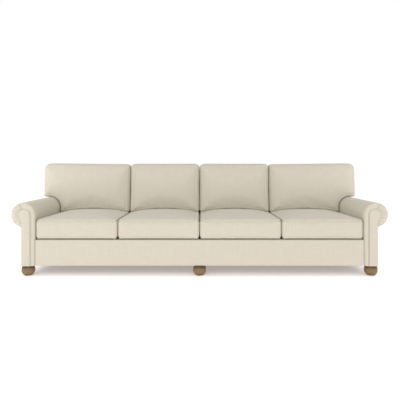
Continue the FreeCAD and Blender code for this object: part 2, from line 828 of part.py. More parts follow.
webs = []
web_count = int(size("webs_per_seat")) * SEATS
for index in range(web_count):
    share = (2 * index + 1) / web_count - 1
    webs.append(raked_board(
        f"web_{index}", "dims.web_width", "dims.web_thickness",
        "(at.post_top_z - dims.deck_height) / at.rake_cos",
        f"{share} * at.arm_inner_x - dims.web_width / 2", "at.web_reach", "0",
    ))
keep(group("back_webs", webs), "back_webbing")


def back_pad():
    """The padded inside back and its top, cut away at each arm."""
    body = new_body("back_pad")
    side_view = new_sketch(body, "back_pad_side", "YZ_Plane")
    rear = "at.pad_rear_reach / at.rake_cos"
    front = "at.pad_front_reach / at.rake_cos"
    low, high = "dims.deck_height", "dims.back_frame_height"
    under = "(dims.back_frame_height - dims.back_top_pad)"

    def raked_y(z, reach):
        return f"at.back_frame_y + ({z} - dims.deck_height) * at.slope - {reach}"

    outline(side_view, [
        (raked_y(low, front), low), (raked_y(low, rear), low), (raked_y(under, rear), under),
        ("at.back_wood_y", under), ("at.back_wood_y", high), (raked_y(high, front), high),
    ])
    whole = pad(body, side_view, "2 * at.arm_outer_x", middle=True)
    top_y = number(raked_y(high, front))
    top_z = size("back_frame_height")
    round_edges(
        body, whole, "dims.back_top_radius",
        lambda edge, middle: close_to(middle.y, top_y) and close_to(middle.z, top_z),
    )
    for name, side in SIDES:
        space = new_sketch(body, f"arm_space_{name}", "XZ_Plane")
        inner = f"{side} * (at.arm_inner_x - dims.seat_fit)"
        outer = f"{side} * (at.arm_outer_x + dims.cut_overshoot)"
        foot, top = "dims.deck_height - dims.cut_overshoot", "at.shoulder_z"
        outline(space, [(inner, foot), (outer, foot), (outer, top), (inner, top)])
        pocket(body, space, "2 * dims.overall_depth", middle=True)
    return body


keep(back_pad(), "back_pad")


def back_side_panel(name, side):
    """The covered side of the back, between the arm and the top pad."""
    inner = "at.wood_outer_x" if side > 0 else "-at.arm_outer_x"
    body = new_body(f"back_side_{name}", inner, "0", "0")
    sketch = new_sketch(body, f"back_side_outline_{name}", "YZ_Plane")
    top = "(dims.back_frame_height - dims.back_top_pad - dims.seat_fit)"
    rear = "(at.pad_rear_reach - dims.seat_fit) / at.rake_cos"
    outline(sketch, [
        (f"at.shoulder_y - {rear}", "at.shoulder_z"), ("at.back_wood_y", "at.shoulder_z"),
        ("at.back_wood_y", top),
        (f"at.back_frame_y + ({top} - dims.deck_height) * at.slope - {rear}", top),
    ])
    pad(body, sketch, "dims.skin_thickness")
    return body


keep(group("back_sides", [back_side_panel(name, side) for name, side in SIDES]), "back_side_panels")

back_sheet = board(
    "back_sheet", "2 * at.arm_outer_x", "dims.skin_thickness", "dims.back_frame_height - dims.foot_height",
    "-at.arm_outer_x", "at.back_wood_y", "dims.foot_height",
)
roll_ends = [
    rod(f"roll_end_{name}", "dims.roll_diameter", "dims.skin_thickness", f"{side} * at.roll_x",
        "at.back_wood_y", "at.roll_z", "y")
    for name, side in SIDES
]
keep(fuse("outside_back", [back_sheet] + roll_ends), "outside_back_panel")


# Feet and what holds them


def bun_foot(name, x, y):
    """A turned foot: a base ring, a full round belly and a narrower top."""
    body = new_body(f"foot_{name}", x, y, "0")
    sketch = new_sketch(body, f"foot_profile_{name}", "XZ_Plane")
    top = "dims.foot_top_diameter / 2"
    belly = "dims.foot_diameter / 2"
    base = "dims.foot_base_diameter / 2"
    low = "dims.glide_height"
    waist = "(dims.glide_height + dims.foot_base_height)"
    belly_z = f"({waist} + (dims.foot_height - {waist}) * dims.foot_belly_share)"

    def bulge(width, rise):
        step = f"({belly} - {width})"
        return f"(({step} ^ 2 + ({rise}) ^ 2) / (2 * {step}))"

    neck = f"({base} - dims.foot_base_step)"
    outline(sketch, [
        ("0", low), (base, low), (base, waist), (neck, waist), (belly, belly_z),
        (top, "dims.foot_height"), ("0", "dims.foot_height"),
    ], {
        3: (bulge(neck, f"{belly_z} - {waist}"), True),
        4: (bulge(top, f"dims.foot_height - {belly_z}"), True),
    })
    revolve(body, sketch)
    bolt_bore = rod(
        f"bolt_bore_{name}", "dims.foot_bolt_diameter + 2 * dims.bore_fit",
        "dims.foot_bolt_length / 2 + dims.bore_fit", x, y,
        "dims.foot_height - dims.foot_bolt_length / 2 - dims.bore_fit",
    )
    pin_bore = rod(
        f"pin_bore_{name}", "dims.glide_diameter / 8 + 2 * dims.bore_fit",
        "4 * dims.glide_height + dims.bore_fit", x, y, "dims.glide_height",
    )
    return cut(f"foot_bored_{name}", body, [bolt_bore, pin_bore])


bolts, inserts, glides, bolt_holes = [], [], [], []
for name, x, y in foot_places():
    keep(bun_foot(name, x, y), f"bun_foot_{name}")
    start = "dims.foot_height - dims.foot_bolt_length / 2"
    bolts.append(rod(f"bolt_{name}", "dims.foot_bolt_diameter", "dims.foot_bolt_length", x, y, start))
    sleeve = rod(f"sleeve_{name}", "dims.insert_diameter", "dims.insert_length", x, y, "at.base_z")
    thread = rod(
        f"thread_{name}", "dims.foot_bolt_diameter + 2 * dims.bore_fit", "dims.insert_length",
        x, y, "at.base_z",
    )
    inserts.append(cut(f"insert_{name}", sleeve, [thread]))
    disc = rod(f"disc_{name}", "dims.glide_diameter", "dims.glide_height", x, y, "0")
    pin = rod(f"pin_{name}", "dims.glide_diameter / 8", "5 * dims.glide_height", x, y, "0")
    glides.append(fuse(f"glide_{name}", [disc, pin]))
    bolt_holes.append(rod(
        f"bolt_hole_{name}", "dims.foot_bolt_diameter + 2 * dims.bore_fit", "dims.dust_cover_thickness",
        x, y, "dims.foot_height",
    ))
keep(group("foot_bolts", bolts), "foot_bolts")
keep(group("foot_inserts", inserts), "foot_inserts")
keep(group("foot_glides", glides), "foot_glides")

dust_sheet = board(
    "dust_sheet", "2 * (at.wood_outer_x - dims.seat_fit)", "at.back_wood_y - at.rail_y - dims.seat_fit",
    "dims.dust_cover_thickness", "-at.wood_outer_x + dims.seat_fit", "at.rail_y", "dims.foot_height",
)
keep(cut("dust_cover", dust_sheet, bolt_holes), "dust_cover")


# Cushions: soft lofts through a few outlines, each a cover with a filled core inside


# How far in from the edge each outline of a crown lies, as shares of half the cushion
SEAT_CROWN_SHARES = (0, 0.12, 0.3, 0.52, 0.76)
BACK_CROWN_SHARES = (0, 0.1, 0.24, 0.4, 0.56)
# How steeply a crown rises at the edge: 2 is a plain arc, more is fuller
SEAT_CROWN_POWER = 2.6
BACK_CROWN_POWER = 2
# How fast a corner's radius grows with the inset, and how much of a short side it may take
CORNER_GROWTH = 0.35
CORNER_SHARE = 0.42
EAR_CORNER_SHARE = 0.3


def crown_levels(edge, crown, half, shares, power):
    """Height over a cushion's edge and the inset there, rising like a low dome."""
    return [(edge + crown * (1 - (1 - share) ** power), share * half) for share in shares]


def soft_outline(points, radii, bows, lift):
    """A closed wire through corners that are rounded, with sides bowed inwards. lift makes 3-D points."""
    count = len(points)
    corners = [Vector(x, y, 0) for x, y in points]
    trims = []
    for index, corner in enumerate(corners):
        back = corners[index - 1].sub(corner).normalize()
        ahead = corners[(index + 1) % count].sub(corner).normalize()
        radius = radii[index]
        trims.append((corner.add(back * radius), corner.add(ahead * radius), back, ahead))
    edges = []
    for index, corner in enumerate(corners):
        before, after, back, ahead = trims[index]
        if radii[index] > 0:
            middle = corner.add((back + ahead) * (radii[index] * (1 - math.sqrt(0.5))))
            edges.append(Part.Arc(lift(before), lift(middle), lift(after)).toShape())
        following = trims[(index + 1) % count][0]
        bow = bows[index]
        if abs(bow) > SAME_PLACE:
            along = following.sub(after).normalize()
            inward = Vector(-along.y, along.x, 0)
            middle = (after + following) * 0.5 + inward * bow
            edges.append(Part.Arc(lift(after), lift(middle), lift(following)).toShape())
        else:
            edges.append(Part.LineSegment(lift(after), lift(following)).toShape())
    return Part.Wire(edges)


def box_corners(low_x, low_y, high_x, high_y, inset):
    return [
        (low_x + inset, low_y + inset), (high_x - inset, low_y + inset),
        (high_x - inset, high_y - inset), (low_x + inset, high_y - inset),
    ]


def soft_radius(base, inset, points):
    """A corner's radius, which grows with the inset but stays within the outline's shortest side."""
    sides = [math.dist(points[index - 1], points[index]) for index in range(len(points))]
    return min(base + CORNER_GROWTH * inset, CORNER_SHARE * min(sides))


def cell(index):
    """The X range of one cushion's place in the row, with half the gap taken off each end."""
    low = -place("arm_inner_x") + index * place("cell_width")
    half_gap = size("cushion_gap") / 2
    return low + half_gap, low + place("cell_width") - half_gap


def seat_form(index, shrink):
    """A seat cushion, or what is inside it where it is shrunk."""
    low_x, high_x = cell(index)
    low_y, high_y = place("seat_front_y"), place("seat_back_y")
    half = (high_y - low_y) / 2
    edge, roll = size("seat_edge"), size("seat_underside_roll")
    tuck = size("seat_underside_inset")
    levels = [(size("seat_fit") + shrink, tuck + shrink), (roll / 2, tuck / 3), (roll, 0)]
    crown = size("seat_crown")
    levels += crown_levels(edge - shrink, crown, half, SEAT_CROWN_SHARES, SEAT_CROWN_POWER)
    wires = []
    for level, inset in levels:
        points = box_corners(low_x, low_y, high_x, high_y, inset + shrink)
        radius = soft_radius(size("seat_corner_radius"), inset, points)
        bows = [size("side_draw")] * 4
        z = size("deck_height") + level
        wires.append(soft_outline(points, [radius] * 4, bows, lambda p, z=z: Vector(p.x, p.y, z)))
    return Part.makeLoft(wires, True, True)


def back_corners(index, inset):
    """A back cushion's corners seen from the front, with its corner radii and side bows."""
    low_x, high_x = cell(index)
    low_z, high_z = place("back_cushion_z"), size("overall_height")
    draw, arch = size("side_draw"), size("back_cushion_arch")
    corner = size("back_corner_radius")
    if index in (1, SEATS - 2):
        points = box_corners(low_x, low_z, high_x, high_z, inset)
        radius = soft_radius(corner, inset, points)
        return points, [radius] * 4, [arch, draw, 0, draw]
    # An outer cushion, drawn for the right-hand end: its ear reaches over the arm
    notch = place("roll_radius") + size("ear_clearance")
    start_x = cell(SEATS - 1)[0]
    stem_x = place("roll_x") - notch
    ear_x = place("arm_inner_x") + size("ear_reach")
    points = [
        (start_x + inset, low_z + inset),
        (stem_x - inset, low_z + inset),
        (stem_x - inset, place("roll_z") + inset),
        (place("roll_x") - inset, place("roll_z") + notch + inset),
        (ear_x - inset, place("roll_z") + notch + inset),
        (ear_x - inset, high_z - inset),
        (start_x + inset, high_z - inset),
    ]
    tight = [points[0], points[1], points[4], points[5], points[6]]
    radius = soft_radius(corner, inset, tight)
    stem_height = points[2][1] - points[1][1]
    ear_height = points[5][1] - points[4][1]
    ear_length = points[4][0] - points[3][0]
    low_radius = min(radius, EAR_CORNER_SHARE * stem_height)
    ear_radius = min(radius, EAR_CORNER_SHARE * ear_height, ear_length / 2)
    radii = [radius, low_radius, 0, 0, ear_radius, ear_radius, radius]
    bows = [arch, 0, notch * (1 - math.sqrt(0.5)), 0, 0, 0, draw]
    return points, radii, bows


def back_form(index, shrink):
    """A back cushion leaning on the raked back, or what is inside it where it is shrunk."""
    mirrored = index == 0
    edge = size("back_cushion_edge")
    half = (size("overall_height") - place("back_cushion_z")) / 2
    roll = size("back_cushion_roll")
    levels = [(size("seat_fit") + shrink, roll + shrink), (roll, 0)]
    crown = size("back_cushion_crown")
    levels += crown_levels(edge - shrink, crown, half, BACK_CROWN_SHARES, BACK_CROWN_POWER)
    wires = []
    for level, inset in levels:
        points, radii, bows = back_corners(index, inset + shrink)

        def lift(p, level=level):
            y = place("inside_back_y") + (p.y - size("deck_height")) * place("slope") - level
            return Vector(-p.x if mirrored else p.x, y, p.y)

        wires.append(soft_outline(points, radii, bows, lift))
    return Part.makeLoft(wires, True, True)


for index in range(SEATS):
    for kind, form in (("seat", seat_form), ("back", back_form)):
        skin = size("cover_thickness")
        cover = form(index, 0).cut(form(index, skin))
        core = form(index, skin + size("seat_fit"))
        keep(solid(f"{kind}_cover_{index + 1}", cover), f"{kind}_cushion_cover_{index + 1}")
        keep(solid(f"{kind}_core_{index + 1}", core), f"{kind}_cushion_core_{index + 1}")


# Checks on every object, then one file for each piece

doc.recompute()
for piece in doc.Objects:
    if "Invalid" in piece.State or "Error" in piece.State:
        raise RuntimeError(f"{piece.Name} failed: {piece.State}")
for piece in NODES:
    shape = piece.Shape
    if shape.isNull() or not shape.isValid() or shape.Volume <= 0:
        raise RuntimeError(f"{piece.Label} has no sound shape")

os.makedirs("parts", exist_ok=True)
for piece in NODES:
    piece.Shape.exportStep(f"parts/{piece.Label}.step")
print(f"{len(NODES)} pieces written")
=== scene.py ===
# %% [markdown]
# A rolled arm sofa for four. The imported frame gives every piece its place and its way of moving,
# and this lesson dresses it: sewn cushions, padded arms with pleated fronts, linen, thread and
# turned wooden feet. Everything is in metres, with +X to the viewer's right and +Y to the back.

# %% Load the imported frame
import json
import math
from functools import partial

import bmesh
import bpy
import numpy as np
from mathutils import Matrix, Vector, geometry, noise


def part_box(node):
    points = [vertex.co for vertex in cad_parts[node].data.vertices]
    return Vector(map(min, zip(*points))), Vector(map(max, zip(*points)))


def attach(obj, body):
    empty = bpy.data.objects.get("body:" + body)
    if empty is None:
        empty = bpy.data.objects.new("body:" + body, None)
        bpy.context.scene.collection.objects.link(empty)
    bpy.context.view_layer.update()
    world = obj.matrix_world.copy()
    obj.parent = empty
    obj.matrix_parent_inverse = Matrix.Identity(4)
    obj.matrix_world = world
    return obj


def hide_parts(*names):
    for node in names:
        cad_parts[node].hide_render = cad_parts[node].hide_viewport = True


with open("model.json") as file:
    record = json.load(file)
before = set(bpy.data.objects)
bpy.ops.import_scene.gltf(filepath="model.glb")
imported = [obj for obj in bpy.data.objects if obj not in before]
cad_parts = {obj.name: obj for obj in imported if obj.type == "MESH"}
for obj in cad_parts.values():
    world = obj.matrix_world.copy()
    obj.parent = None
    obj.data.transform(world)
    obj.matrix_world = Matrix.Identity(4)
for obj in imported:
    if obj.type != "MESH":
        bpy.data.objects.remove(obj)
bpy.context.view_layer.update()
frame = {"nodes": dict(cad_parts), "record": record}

# %% [markdown]
# The photograph was taken square on, with the lens just under the top of the back. A level camera
# with a vertical shift keeps the uprights parallel, as a view camera with a dropped lens does.

# %% Camera
PHOTO_SIDE = 400
FOCAL_PIXELS = 419
HORIZON_ROW = 165.0
MIDDLE_COLUMN = 199.6
SENSOR = 36.0
CAMERA_PLACE = (0.0, -3.843, 0.896)

camera_data = bpy.data.cameras.new("photo_camera")
camera_data.sensor_width = SENSOR
camera_data.lens = SENSOR * FOCAL_PIXELS / PHOTO_SIDE
camera_data.shift_x = (PHOTO_SIDE / 2 - MIDDLE_COLUMN) / PHOTO_SIDE
camera_data.shift_y = (HORIZON_ROW - PHOTO_SIDE / 2) / PHOTO_SIDE
camera = bpy.data.objects.new("photo_camera", camera_data)
camera.location = CAMERA_PLACE
camera.rotation_euler = (math.radians(90), 0, 0)
bpy.context.scene.collection.objects.link(camera)
bpy.context.scene.camera = camera
print("lens", round(camera_data.lens, 2))

# %% [markdown]
# Every soft piece starts from the place its solid holds in the frame, so the boxes of a few solids
# give the sizes that the sewing needs: the cushion cells, the roll of the arm and its keyhole front.

# %% Places taken from the frame


def corners_of(node):
    low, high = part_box(node)
    return Vector(low), Vector(high)


SEATS = (1, 2, 3, 4)
SIDES = (("left", -1), ("right", 1))

arm_low, arm_high = corners_of("arm_pad_right")
ROLL_RADIUS = (arm_high.x - arm_low.x) / 2
ROLL_X = arm_low.x + ROLL_RADIUS
ROLL_Z = arm_high.z - ROLL_RADIUS
ARM_FRONT = arm_low.y
ARM_BACK = arm_high.y
ARM_FOOT = arm_low.z

welt_low, welt_high = corners_of("arm_welt_right")
HEAD_RADIUS = (welt_high.x - welt_low.x) / 2
HEAD_X = welt_low.x + HEAD_RADIUS
STEM_INNER = welt_low.x
STEM_OUTER = corners_of("outside_arm_panel_right")[1].x
NECK_RADIUS = 0.100
WELT_RADIUS = (welt_high.y - welt_low.y) / 2

DECK_TOP = corners_of("seat_deck")[1].z
INSIDE_BACK = corners_of("back_pad")[0].y
BACK_SLOPE = math.tan(math.radians(6))
print("roll", round(ROLL_X, 4), round(ROLL_Z, 4), "deck", round(DECK_TOP, 4))

# %% [markdown]
# A few small helpers make meshes. Each mesh of cloth carries a map in metres along its own threads,
# so the weave keeps one size on every panel and turns with the panel as cut cloth does.

# %% Mesh helpers
CLOTH_MAP = "cloth"


def new_object(name, data):
    piece = bpy.data.objects.new(name, data)
    bpy.context.scene.collection.objects.link(piece)
    return piece


def cloth_mesh(name, points, faces, uvs):
    """A smooth mesh with a map in metres, given for each face corner in turn."""
    mesh = bpy.data.meshes.new(name)
    mesh.from_pydata([tuple(map(float, point)) for point in points], [], faces)
    layer = mesh.uv_layers.new(name=CLOTH_MAP)
    layer.data.foreach_set("uv", np.asarray(uvs, dtype=np.float32).ravel())
    mesh.shade_smooth()
    return mesh


def cloth_piece(name, points, faces, texture):
    """An object in cloth, with its map given for each point."""
    uvs = [texture[number] for face in faces for number in face]
    return new_object(name, cloth_mesh(name, points, faces, uvs))


def point_outwards(mesh):
    """Turns the faces of a closed mesh outwards."""
    work = bmesh.new()
    work.from_mesh(mesh)
    bmesh.ops.recalc_face_normals(work, faces=work.faces)
    work.to_mesh(mesh)
    work.free()


def bake_modifiers(piece):
    """Replaces a piece's mesh by what its modifiers make of it."""
    graph = bpy.context.evaluated_depsgraph_get()
    made = bpy.data.meshes.new_from_object(piece.evaluated_get(graph))
    piece.modifiers.clear()
    piece.vertex_groups.clear()
    piece.data = made


def subdivide(piece):
    finer = piece.modifiers.new("finer", "SUBSURF")
    finer.levels = finer.render_levels = 1
    bake_modifiers(piece)


def thicken(piece, thickness, offset=-1):
    """Gives a sheet of cloth a wall and turns its faces outwards."""
    wall = piece.modifiers.new("wall", "SOLIDIFY")
    wall.thickness = thickness
    wall.offset = offset
    bake_modifiers(piece)
    point_outwards(piece.data)


def band_faces(rows, count, closed=True):
    """Quads between rows with the same count of points; a closed row joins its own ends."""
    faces = []
    for row in range(rows - 1):
        for index in range(count if closed else count - 1):
            here, after = row * count + index, row * count + (index + 1) % count
            faces.append((here, after, after + count, here + count))
    return faces


def running_lengths(line):
    """The length of a line from its start to each of its points."""
    lengths = [0.0]
    for first, second in zip(line, line[1:]):
        lengths.append(lengths[-1] + (second - first).length)
    return lengths


def coordinates(mesh):
    found = np.empty(len(mesh.vertices) * 3)
    mesh.vertices.foreach_get("co", found)
    return found.reshape(-1, 3)


def set_coordinates(mesh, places):
    mesh.vertices.foreach_set("co", np.asarray(places).ravel())
    mesh.update()


def object_from(work, name):
    """A new object with what a bmesh holds, which is then freed."""
    mesh = bpy.data.meshes.new(name)
    work.to_mesh(mesh)
    work.free()
    return new_object(name, mesh)


def join(name, pieces):
    """One object from several, made in bmesh so that each keeps its map."""
    work = bmesh.new()
    for piece in pieces:
        work.from_mesh(piece.data)
        bpy.data.objects.remove(piece)
    return object_from(work, name)


print("mesh helpers ready")

# %% [markdown]
# Upholstery is cut from flat panels. An outline with rounded corners is drawn again at several
# insets, always with the same count of points, so the rings can be joined into a band like the
# boxing of a cushion. The panels that close the band are filled with an even net of triangles,
# which bends the same way in every direction when the cloth is blown up.

# %% Outlines and panels
SMALLEST_CORNER = 0.006


def turn_at(corners, index):
    """The directions before and after a corner, as unit vectors."""
    here = Vector(corners[index])
    before = (here - Vector(corners[index - 1])).normalized()
    after = (Vector(corners[(index + 1) % len(corners)]) - here).normalized()
    return before, after


def rectangle(low_u, low_v, high_u, high_v):
    return [(low_u, low_v), (high_u, low_v), (high_u, high_v), (low_u, high_v)]


def left_of(direction):
    return Vector((-direction.y, direction.x))


def drawn_in(corners, radii, inset):
    """The corners and radii of an outline that runs inside another one."""
    moved, rounds = [], []
    for index, corner in enumerate(corners):
        before, after = turn_at(corners, index)
        sides = left_of(before) + left_of(after)
        share = inset / (1 + left_of(before).dot(left_of(after)))
        moved.append(Vector(corner) + sides * share)
        convex = before.cross(after) > 0
        wanted = radii[index] - inset if convex else radii[index] + inset
        rounds.append(max(wanted, SMALLEST_CORNER))
    return moved, rounds


def point_plan(corners, radii, step):
    """How many points each rounded corner and each side gets."""
    plan = []
    for index, corner in enumerate(corners):
        following = (index + 1) % len(corners)
        length = (Vector(corners[following]) - Vector(corner)).length - radii[index] - radii[following]
        around = max(5, round(radii[index] * math.pi / 2 / step))
        plan.append((around, max(2, round(length / step))))
    return plan


def ring(corners, radii, bows, plan, inset):
    """One closed ring of points inside an outline; a bow draws the middle of its side inwards."""
    corners, radii = drawn_in(corners, radii, inset)
    ends = []
    points = []
    for index, corner in enumerate(corners):
        before, after = turn_at(corners, index)
        convex = before.cross(after) > 0
        angle = before.angle(after)
        reach = radii[index] * math.tan(angle / 2)
        hub = corner - before * reach + left_of(before) * (radii[index] if convex else -radii[index])
        arm = corner - before * reach - hub
        arc = []
        for step in range(plan[index][0] + 1):
            swing = angle * step / plan[index][0] * (1 if convex else -1)
            turned = Vector((
                arm.x * math.cos(swing) - arm.y * math.sin(swing),
                arm.x * math.sin(swing) + arm.y * math.cos(swing),
            ))
            arc.append(hub + turned)
        ends.append(arc)
    for index, arc in enumerate(ends):
        points += arc
        start, finish = arc[-1], ends[(index + 1) % len(ends)][0]
        inward = left_of((finish - start).normalized())
        count = plan[index][1]
        for step in range(1, count):
            share = step / count
            points.append(start.lerp(finish, share) + inward * (bows[index] * 4 * share * (1 - share)))
    return points


def distance_inside(points, boundary):
    """How far each point is inside a closed boundary; a point outside it gets a negative number."""
    points = np.asarray(points)
    first = np.asarray(boundary)
    second = np.roll(first, -1, axis=0)
    nearest = np.full(len(points), np.inf)
    inside = np.zeros(len(points), dtype=bool)
    for a, b in zip(first, second):
        along = b - a
        share = np.clip(((points - a) @ along) / max(along @ along, 1e-12), 0, 1)
        gap = np.linalg.norm(points - a - share[:, None] * along, axis=1)
        nearest = np.minimum(nearest, gap)
        crosses = (a[1] > points[:, 1]) != (b[1] > points[:, 1])
        if abs(along[1]) > 1e-12:
            inside ^= crosses & (points[:, 0] < along[0] * (points[:, 1] - a[1]) / along[1] + a[0])
    return np.where(inside, nearest, -nearest)


def fill_panel(boundary, spacing):
    """Points on an even net inside a boundary, and triangles over the boundary and the net."""
    edge = np.array([tuple(point) for point in boundary])
    low, high = edge.min(axis=0), edge.max(axis=0)
    net = []
    row_height = spacing * math.sqrt(3) / 2
    for row, y in enumerate(np.arange(low[1] + row_height / 2, high[1], row_height)):
        start = low[0] + spacing * (0.5 if row % 2 else 1.0)
        net += [(x, y) for x in np.arange(start, high[0], spacing)]
    net = np.array(net)
    net = net[distance_inside(net, edge) > 0.6 * spacing]
    places = [Vector(point) for point in edge] + [Vector(point) for point in net]
    sides = [(index, (index + 1) % len(edge)) for index in range(len(edge))]
    found = geometry.delaunay_2d_cdt(places, sides, [], 1, 1e-7)
    source = [origin[0] for origin in found[3]]
    triangles = [[source[corner] for corner in face] for face in found[2]]
    return net, triangles


def blown_up(edge_count, net_count, triangles, passes):
    """How high each net point of a panel stands when it is blown up, from 0 at the edge to 1."""
    pairs = set()
    for face in triangles:
        for index in range(3):
            a, b = face[index], face[(index + 1) % 3]
            pairs.add((min(a, b), max(a, b)))
    pairs = np.array(sorted(pairs))
    count = edge_count + net_count
    heads = np.concatenate([pairs[:, 0], pairs[:, 1]])
    tails = np.concatenate([pairs[:, 1], pairs[:, 0]])
    neighbours = np.bincount(heads, minlength=count)
    height = np.zeros(count)
    lift = 1e-3
    for _ in range(passes):
        height = np.bincount(heads, weights=height[tails], minlength=count) / neighbours + lift
        height[:edge_count] = 0
    return height[edge_count:] / height.max()


print("outline helpers ready")

# %% [markdown]
# A sewn form is a back panel, a band and a front panel. The band is given as rings: how far each
# lies inside the outline, and how far it stands off the back. The same helper makes cushions,
# padded panels and the apron, because all of them are cut and closed in this way.

# %% Sewn forms
NET_FULLNESS = 0.88


def outline_rings(corners, radii, bows, bands, step=0.010):
    """The rings of a band inside an outline, all with the same count of points."""
    plan = point_plan(corners, radii, step)
    return [ring(corners, radii, bows, plan, inset) for inset, _ in bands]


def sewn_form(name, rings, bands, crown, place, spacing=0.014, passes=900, fullness=NET_FULLNESS):
    """A closed form in cloth. Returns the object and, for each band ring, its vertex numbers."""
    count = len(rings[0])
    flat = [(point.x, point.y, level) for line, (_, level) in zip(rings, bands) for point in line]
    widest = rings[len(rings) // 2]
    along = running_lengths(widest + widest[:1])
    rise = running_lengths([Vector(band) for band in bands])
    faces, uvs = band_faces(len(bands), count), []
    for low, high in zip(rise, rise[1:]):
        for start, finish in zip(along, along[1:]):
            uvs += [(start, low), (finish, low), (finish, high), (start, high)]
    for row, direction in ((len(bands) - 1, 1), (0, -1)):
        net, triangles = fill_panel(rings[row], spacing)
        heights = np.zeros(len(net))
        if direction > 0:
            heights = blown_up(count, len(net), triangles, passes) ** fullness * crown
        net_start = len(flat)
        flat += [(x, y, bands[row][1] + height) for (x, y), height in zip(net, heights)]
        for face in triangles:
            numbers = [row * count + n if n < count else net_start + n - count for n in face[::direction]]
            faces.append(tuple(numbers))
            uvs += [flat[n][:2] for n in numbers]
    mesh = cloth_mesh(name, [place(*point) for point in flat], faces, uvs)
    point_outwards(mesh)
    numbered = [list(range(row * count, (row + 1) * count)) for row in range(len(bands))]
    return new_object(name, mesh), numbered


def on_seat(u, v, w):
    """From a seat cushion's plan and its height over the deck."""
    return u, v, DECK_TOP + w


def on_back(u, v, w):
    """From a back cushion's front view and its distance before the raked back."""
    return u, INSIDE_BACK + (v - DECK_TOP) * BACK_SLOPE - w, v


print("sewn forms ready")

# %% [markdown]
# Linen is a plain weave of uneven yarn. Its look from a step away comes from slubs, the thicker
# lengths of yarn that run along the warp and the weft, over a slow change of tone. The group below
# works them out from the cloth map, and each fabric places it with its own tones and thread count.

# %% Shared shader groups


def surface_group(name, inputs):
    """A shader group that gives a surface's colour, relief and roughness, with its named inputs."""
    group = bpy.data.node_groups.new(name, "ShaderNodeTree")
    for label, kind, value in inputs:
        socket = group.interface.new_socket(label, in_out="INPUT", socket_type=f"NodeSocket{kind}")
        if value is not None:
            socket.default_value = value
    for label, kind in (("Color", "Color"), ("Relief", "Float"), ("Roughness", "Float")):
        group.interface.new_socket(label, in_out="OUTPUT", socket_type=f"NodeSocket{kind}")
    return group, group.nodes.new("NodeGroupInput").outputs, group.nodes.new("NodeGroupOutput").inputs


def set_values(node, values):
    for label, value in values.items():
        node.inputs[label].default_value = value


def wire(tree, source, target):
    tree.links.new(source, target)


def maths(tree, operation, first, second=None, clamp=False):
    """One Math node; each side is a socket or a number. Gives its result."""
    node = tree.nodes.new("ShaderNodeMath")
    node.operation = operation
    node.use_clamp = clamp
    for index, value in enumerate((first, second)):
        if value is None:
            continue
        if isinstance(value, (int, float)):
            node.inputs[index].default_value = value
        else:
            wire(tree, value, node.inputs[index])
    return node.outputs[0]


def scaled(tree, vector, factors):
    node = tree.nodes.new("ShaderNodeVectorMath")
    node.operation = "MULTIPLY"
    wire(tree, vector, node.inputs[0])
    node.inputs[1].default_value = factors
    return node.outputs[0]


def noise_value(tree, vector, scale, detail=2.0, roughness=0.5):
    node = tree.nodes.new("ShaderNodeTexNoise")
    set_values(node, {"Scale": scale, "Detail": detail, "Roughness": roughness})
    wire(tree, vector, node.inputs["Vector"])
    return node.outputs["Fac"]


def mixed(tree, share, first, second):
    """A colour between two, each a socket or a colour."""
    node = tree.nodes.new("ShaderNodeMix")
    node.data_type = "RGBA"
    wire(tree, share, node.inputs["Factor"])
    for label, value in (("A", first), ("B", second)):
        socket = [s for s in node.inputs if s.name == label and s.type == "RGBA"][0]
        if isinstance(value, tuple):
            socket.default_value = value
        else:
            wire(tree, value, socket)
    return [s for s in node.outputs if s.type == "RGBA"][0]


def axes_of(tree, vector):
    parts = tree.nodes.new("ShaderNodeSeparateXYZ")
    wire(tree, vector, parts.inputs[0])
    return parts.outputs


def make_linen_group():
    """A plain weave with slubs, from a map in metres."""
    tree, given, out = surface_group("linen_weave", [
        ("Map", "Vector", None),
        ("Light Yarn", "Color", (0.8, 0.75, 0.65, 1)),
        ("Dark Yarn", "Color", (0.6, 0.55, 0.46, 1)),
        ("Threads", "Float", 620.0),
        ("Slubs", "Float", 1.0),
    ])
    calc = partial(maths, tree)
    axes = axes_of(tree, given["Map"])
    counts = [calc("MULTIPLY", axes[axis], given["Threads"]) for axis in (0, 1)]
    ridges = [calc("ABSOLUTE", calc("SINE", calc("MULTIPLY", n, math.pi))) for n in counts]
    cells = [calc("FLOOR", n) for n in counts]
    over = calc("FLOORED_MODULO", calc("ADD", cells[0], cells[1]), 2.0)
    under = calc("SUBTRACT", 1.0, over)
    weave = calc("ADD", calc("MULTIPLY", ridges[0], over), calc("MULTIPLY", ridges[1], under))
    warp_slubs, weft_slubs, tone = (
        noise_value(tree, scaled(tree, given["Map"], stretch), 1.0, 3.0)
        for stretch in ((190, 7, 1), (9, 170, 1), (22, 14, 1))
    )
    uneven = calc("ADD", calc("SUBTRACT", warp_slubs, 0.5), calc("SUBTRACT", weft_slubs, 0.5))
    uneven = calc("MULTIPLY", uneven, given["Slubs"])
    slow = calc("MULTIPLY", calc("SUBTRACT", tone, 0.5), 0.3)
    grain = calc("MULTIPLY", calc("SUBTRACT", weave, 0.6), 0.35)
    shade = calc("ADD", calc("ADD", calc("ADD", uneven, slow), 0.5), grain, clamp=True)
    wire(tree, mixed(tree, shade, given["Dark Yarn"], given["Light Yarn"]), out["Color"])
    wire(tree, calc("ADD", weave, calc("MULTIPLY", uneven, 1.5)), out["Relief"])
    wire(tree, calc("ADD", calc("MULTIPLY", shade, -0.12), 0.92), out["Roughness"])
    return tree


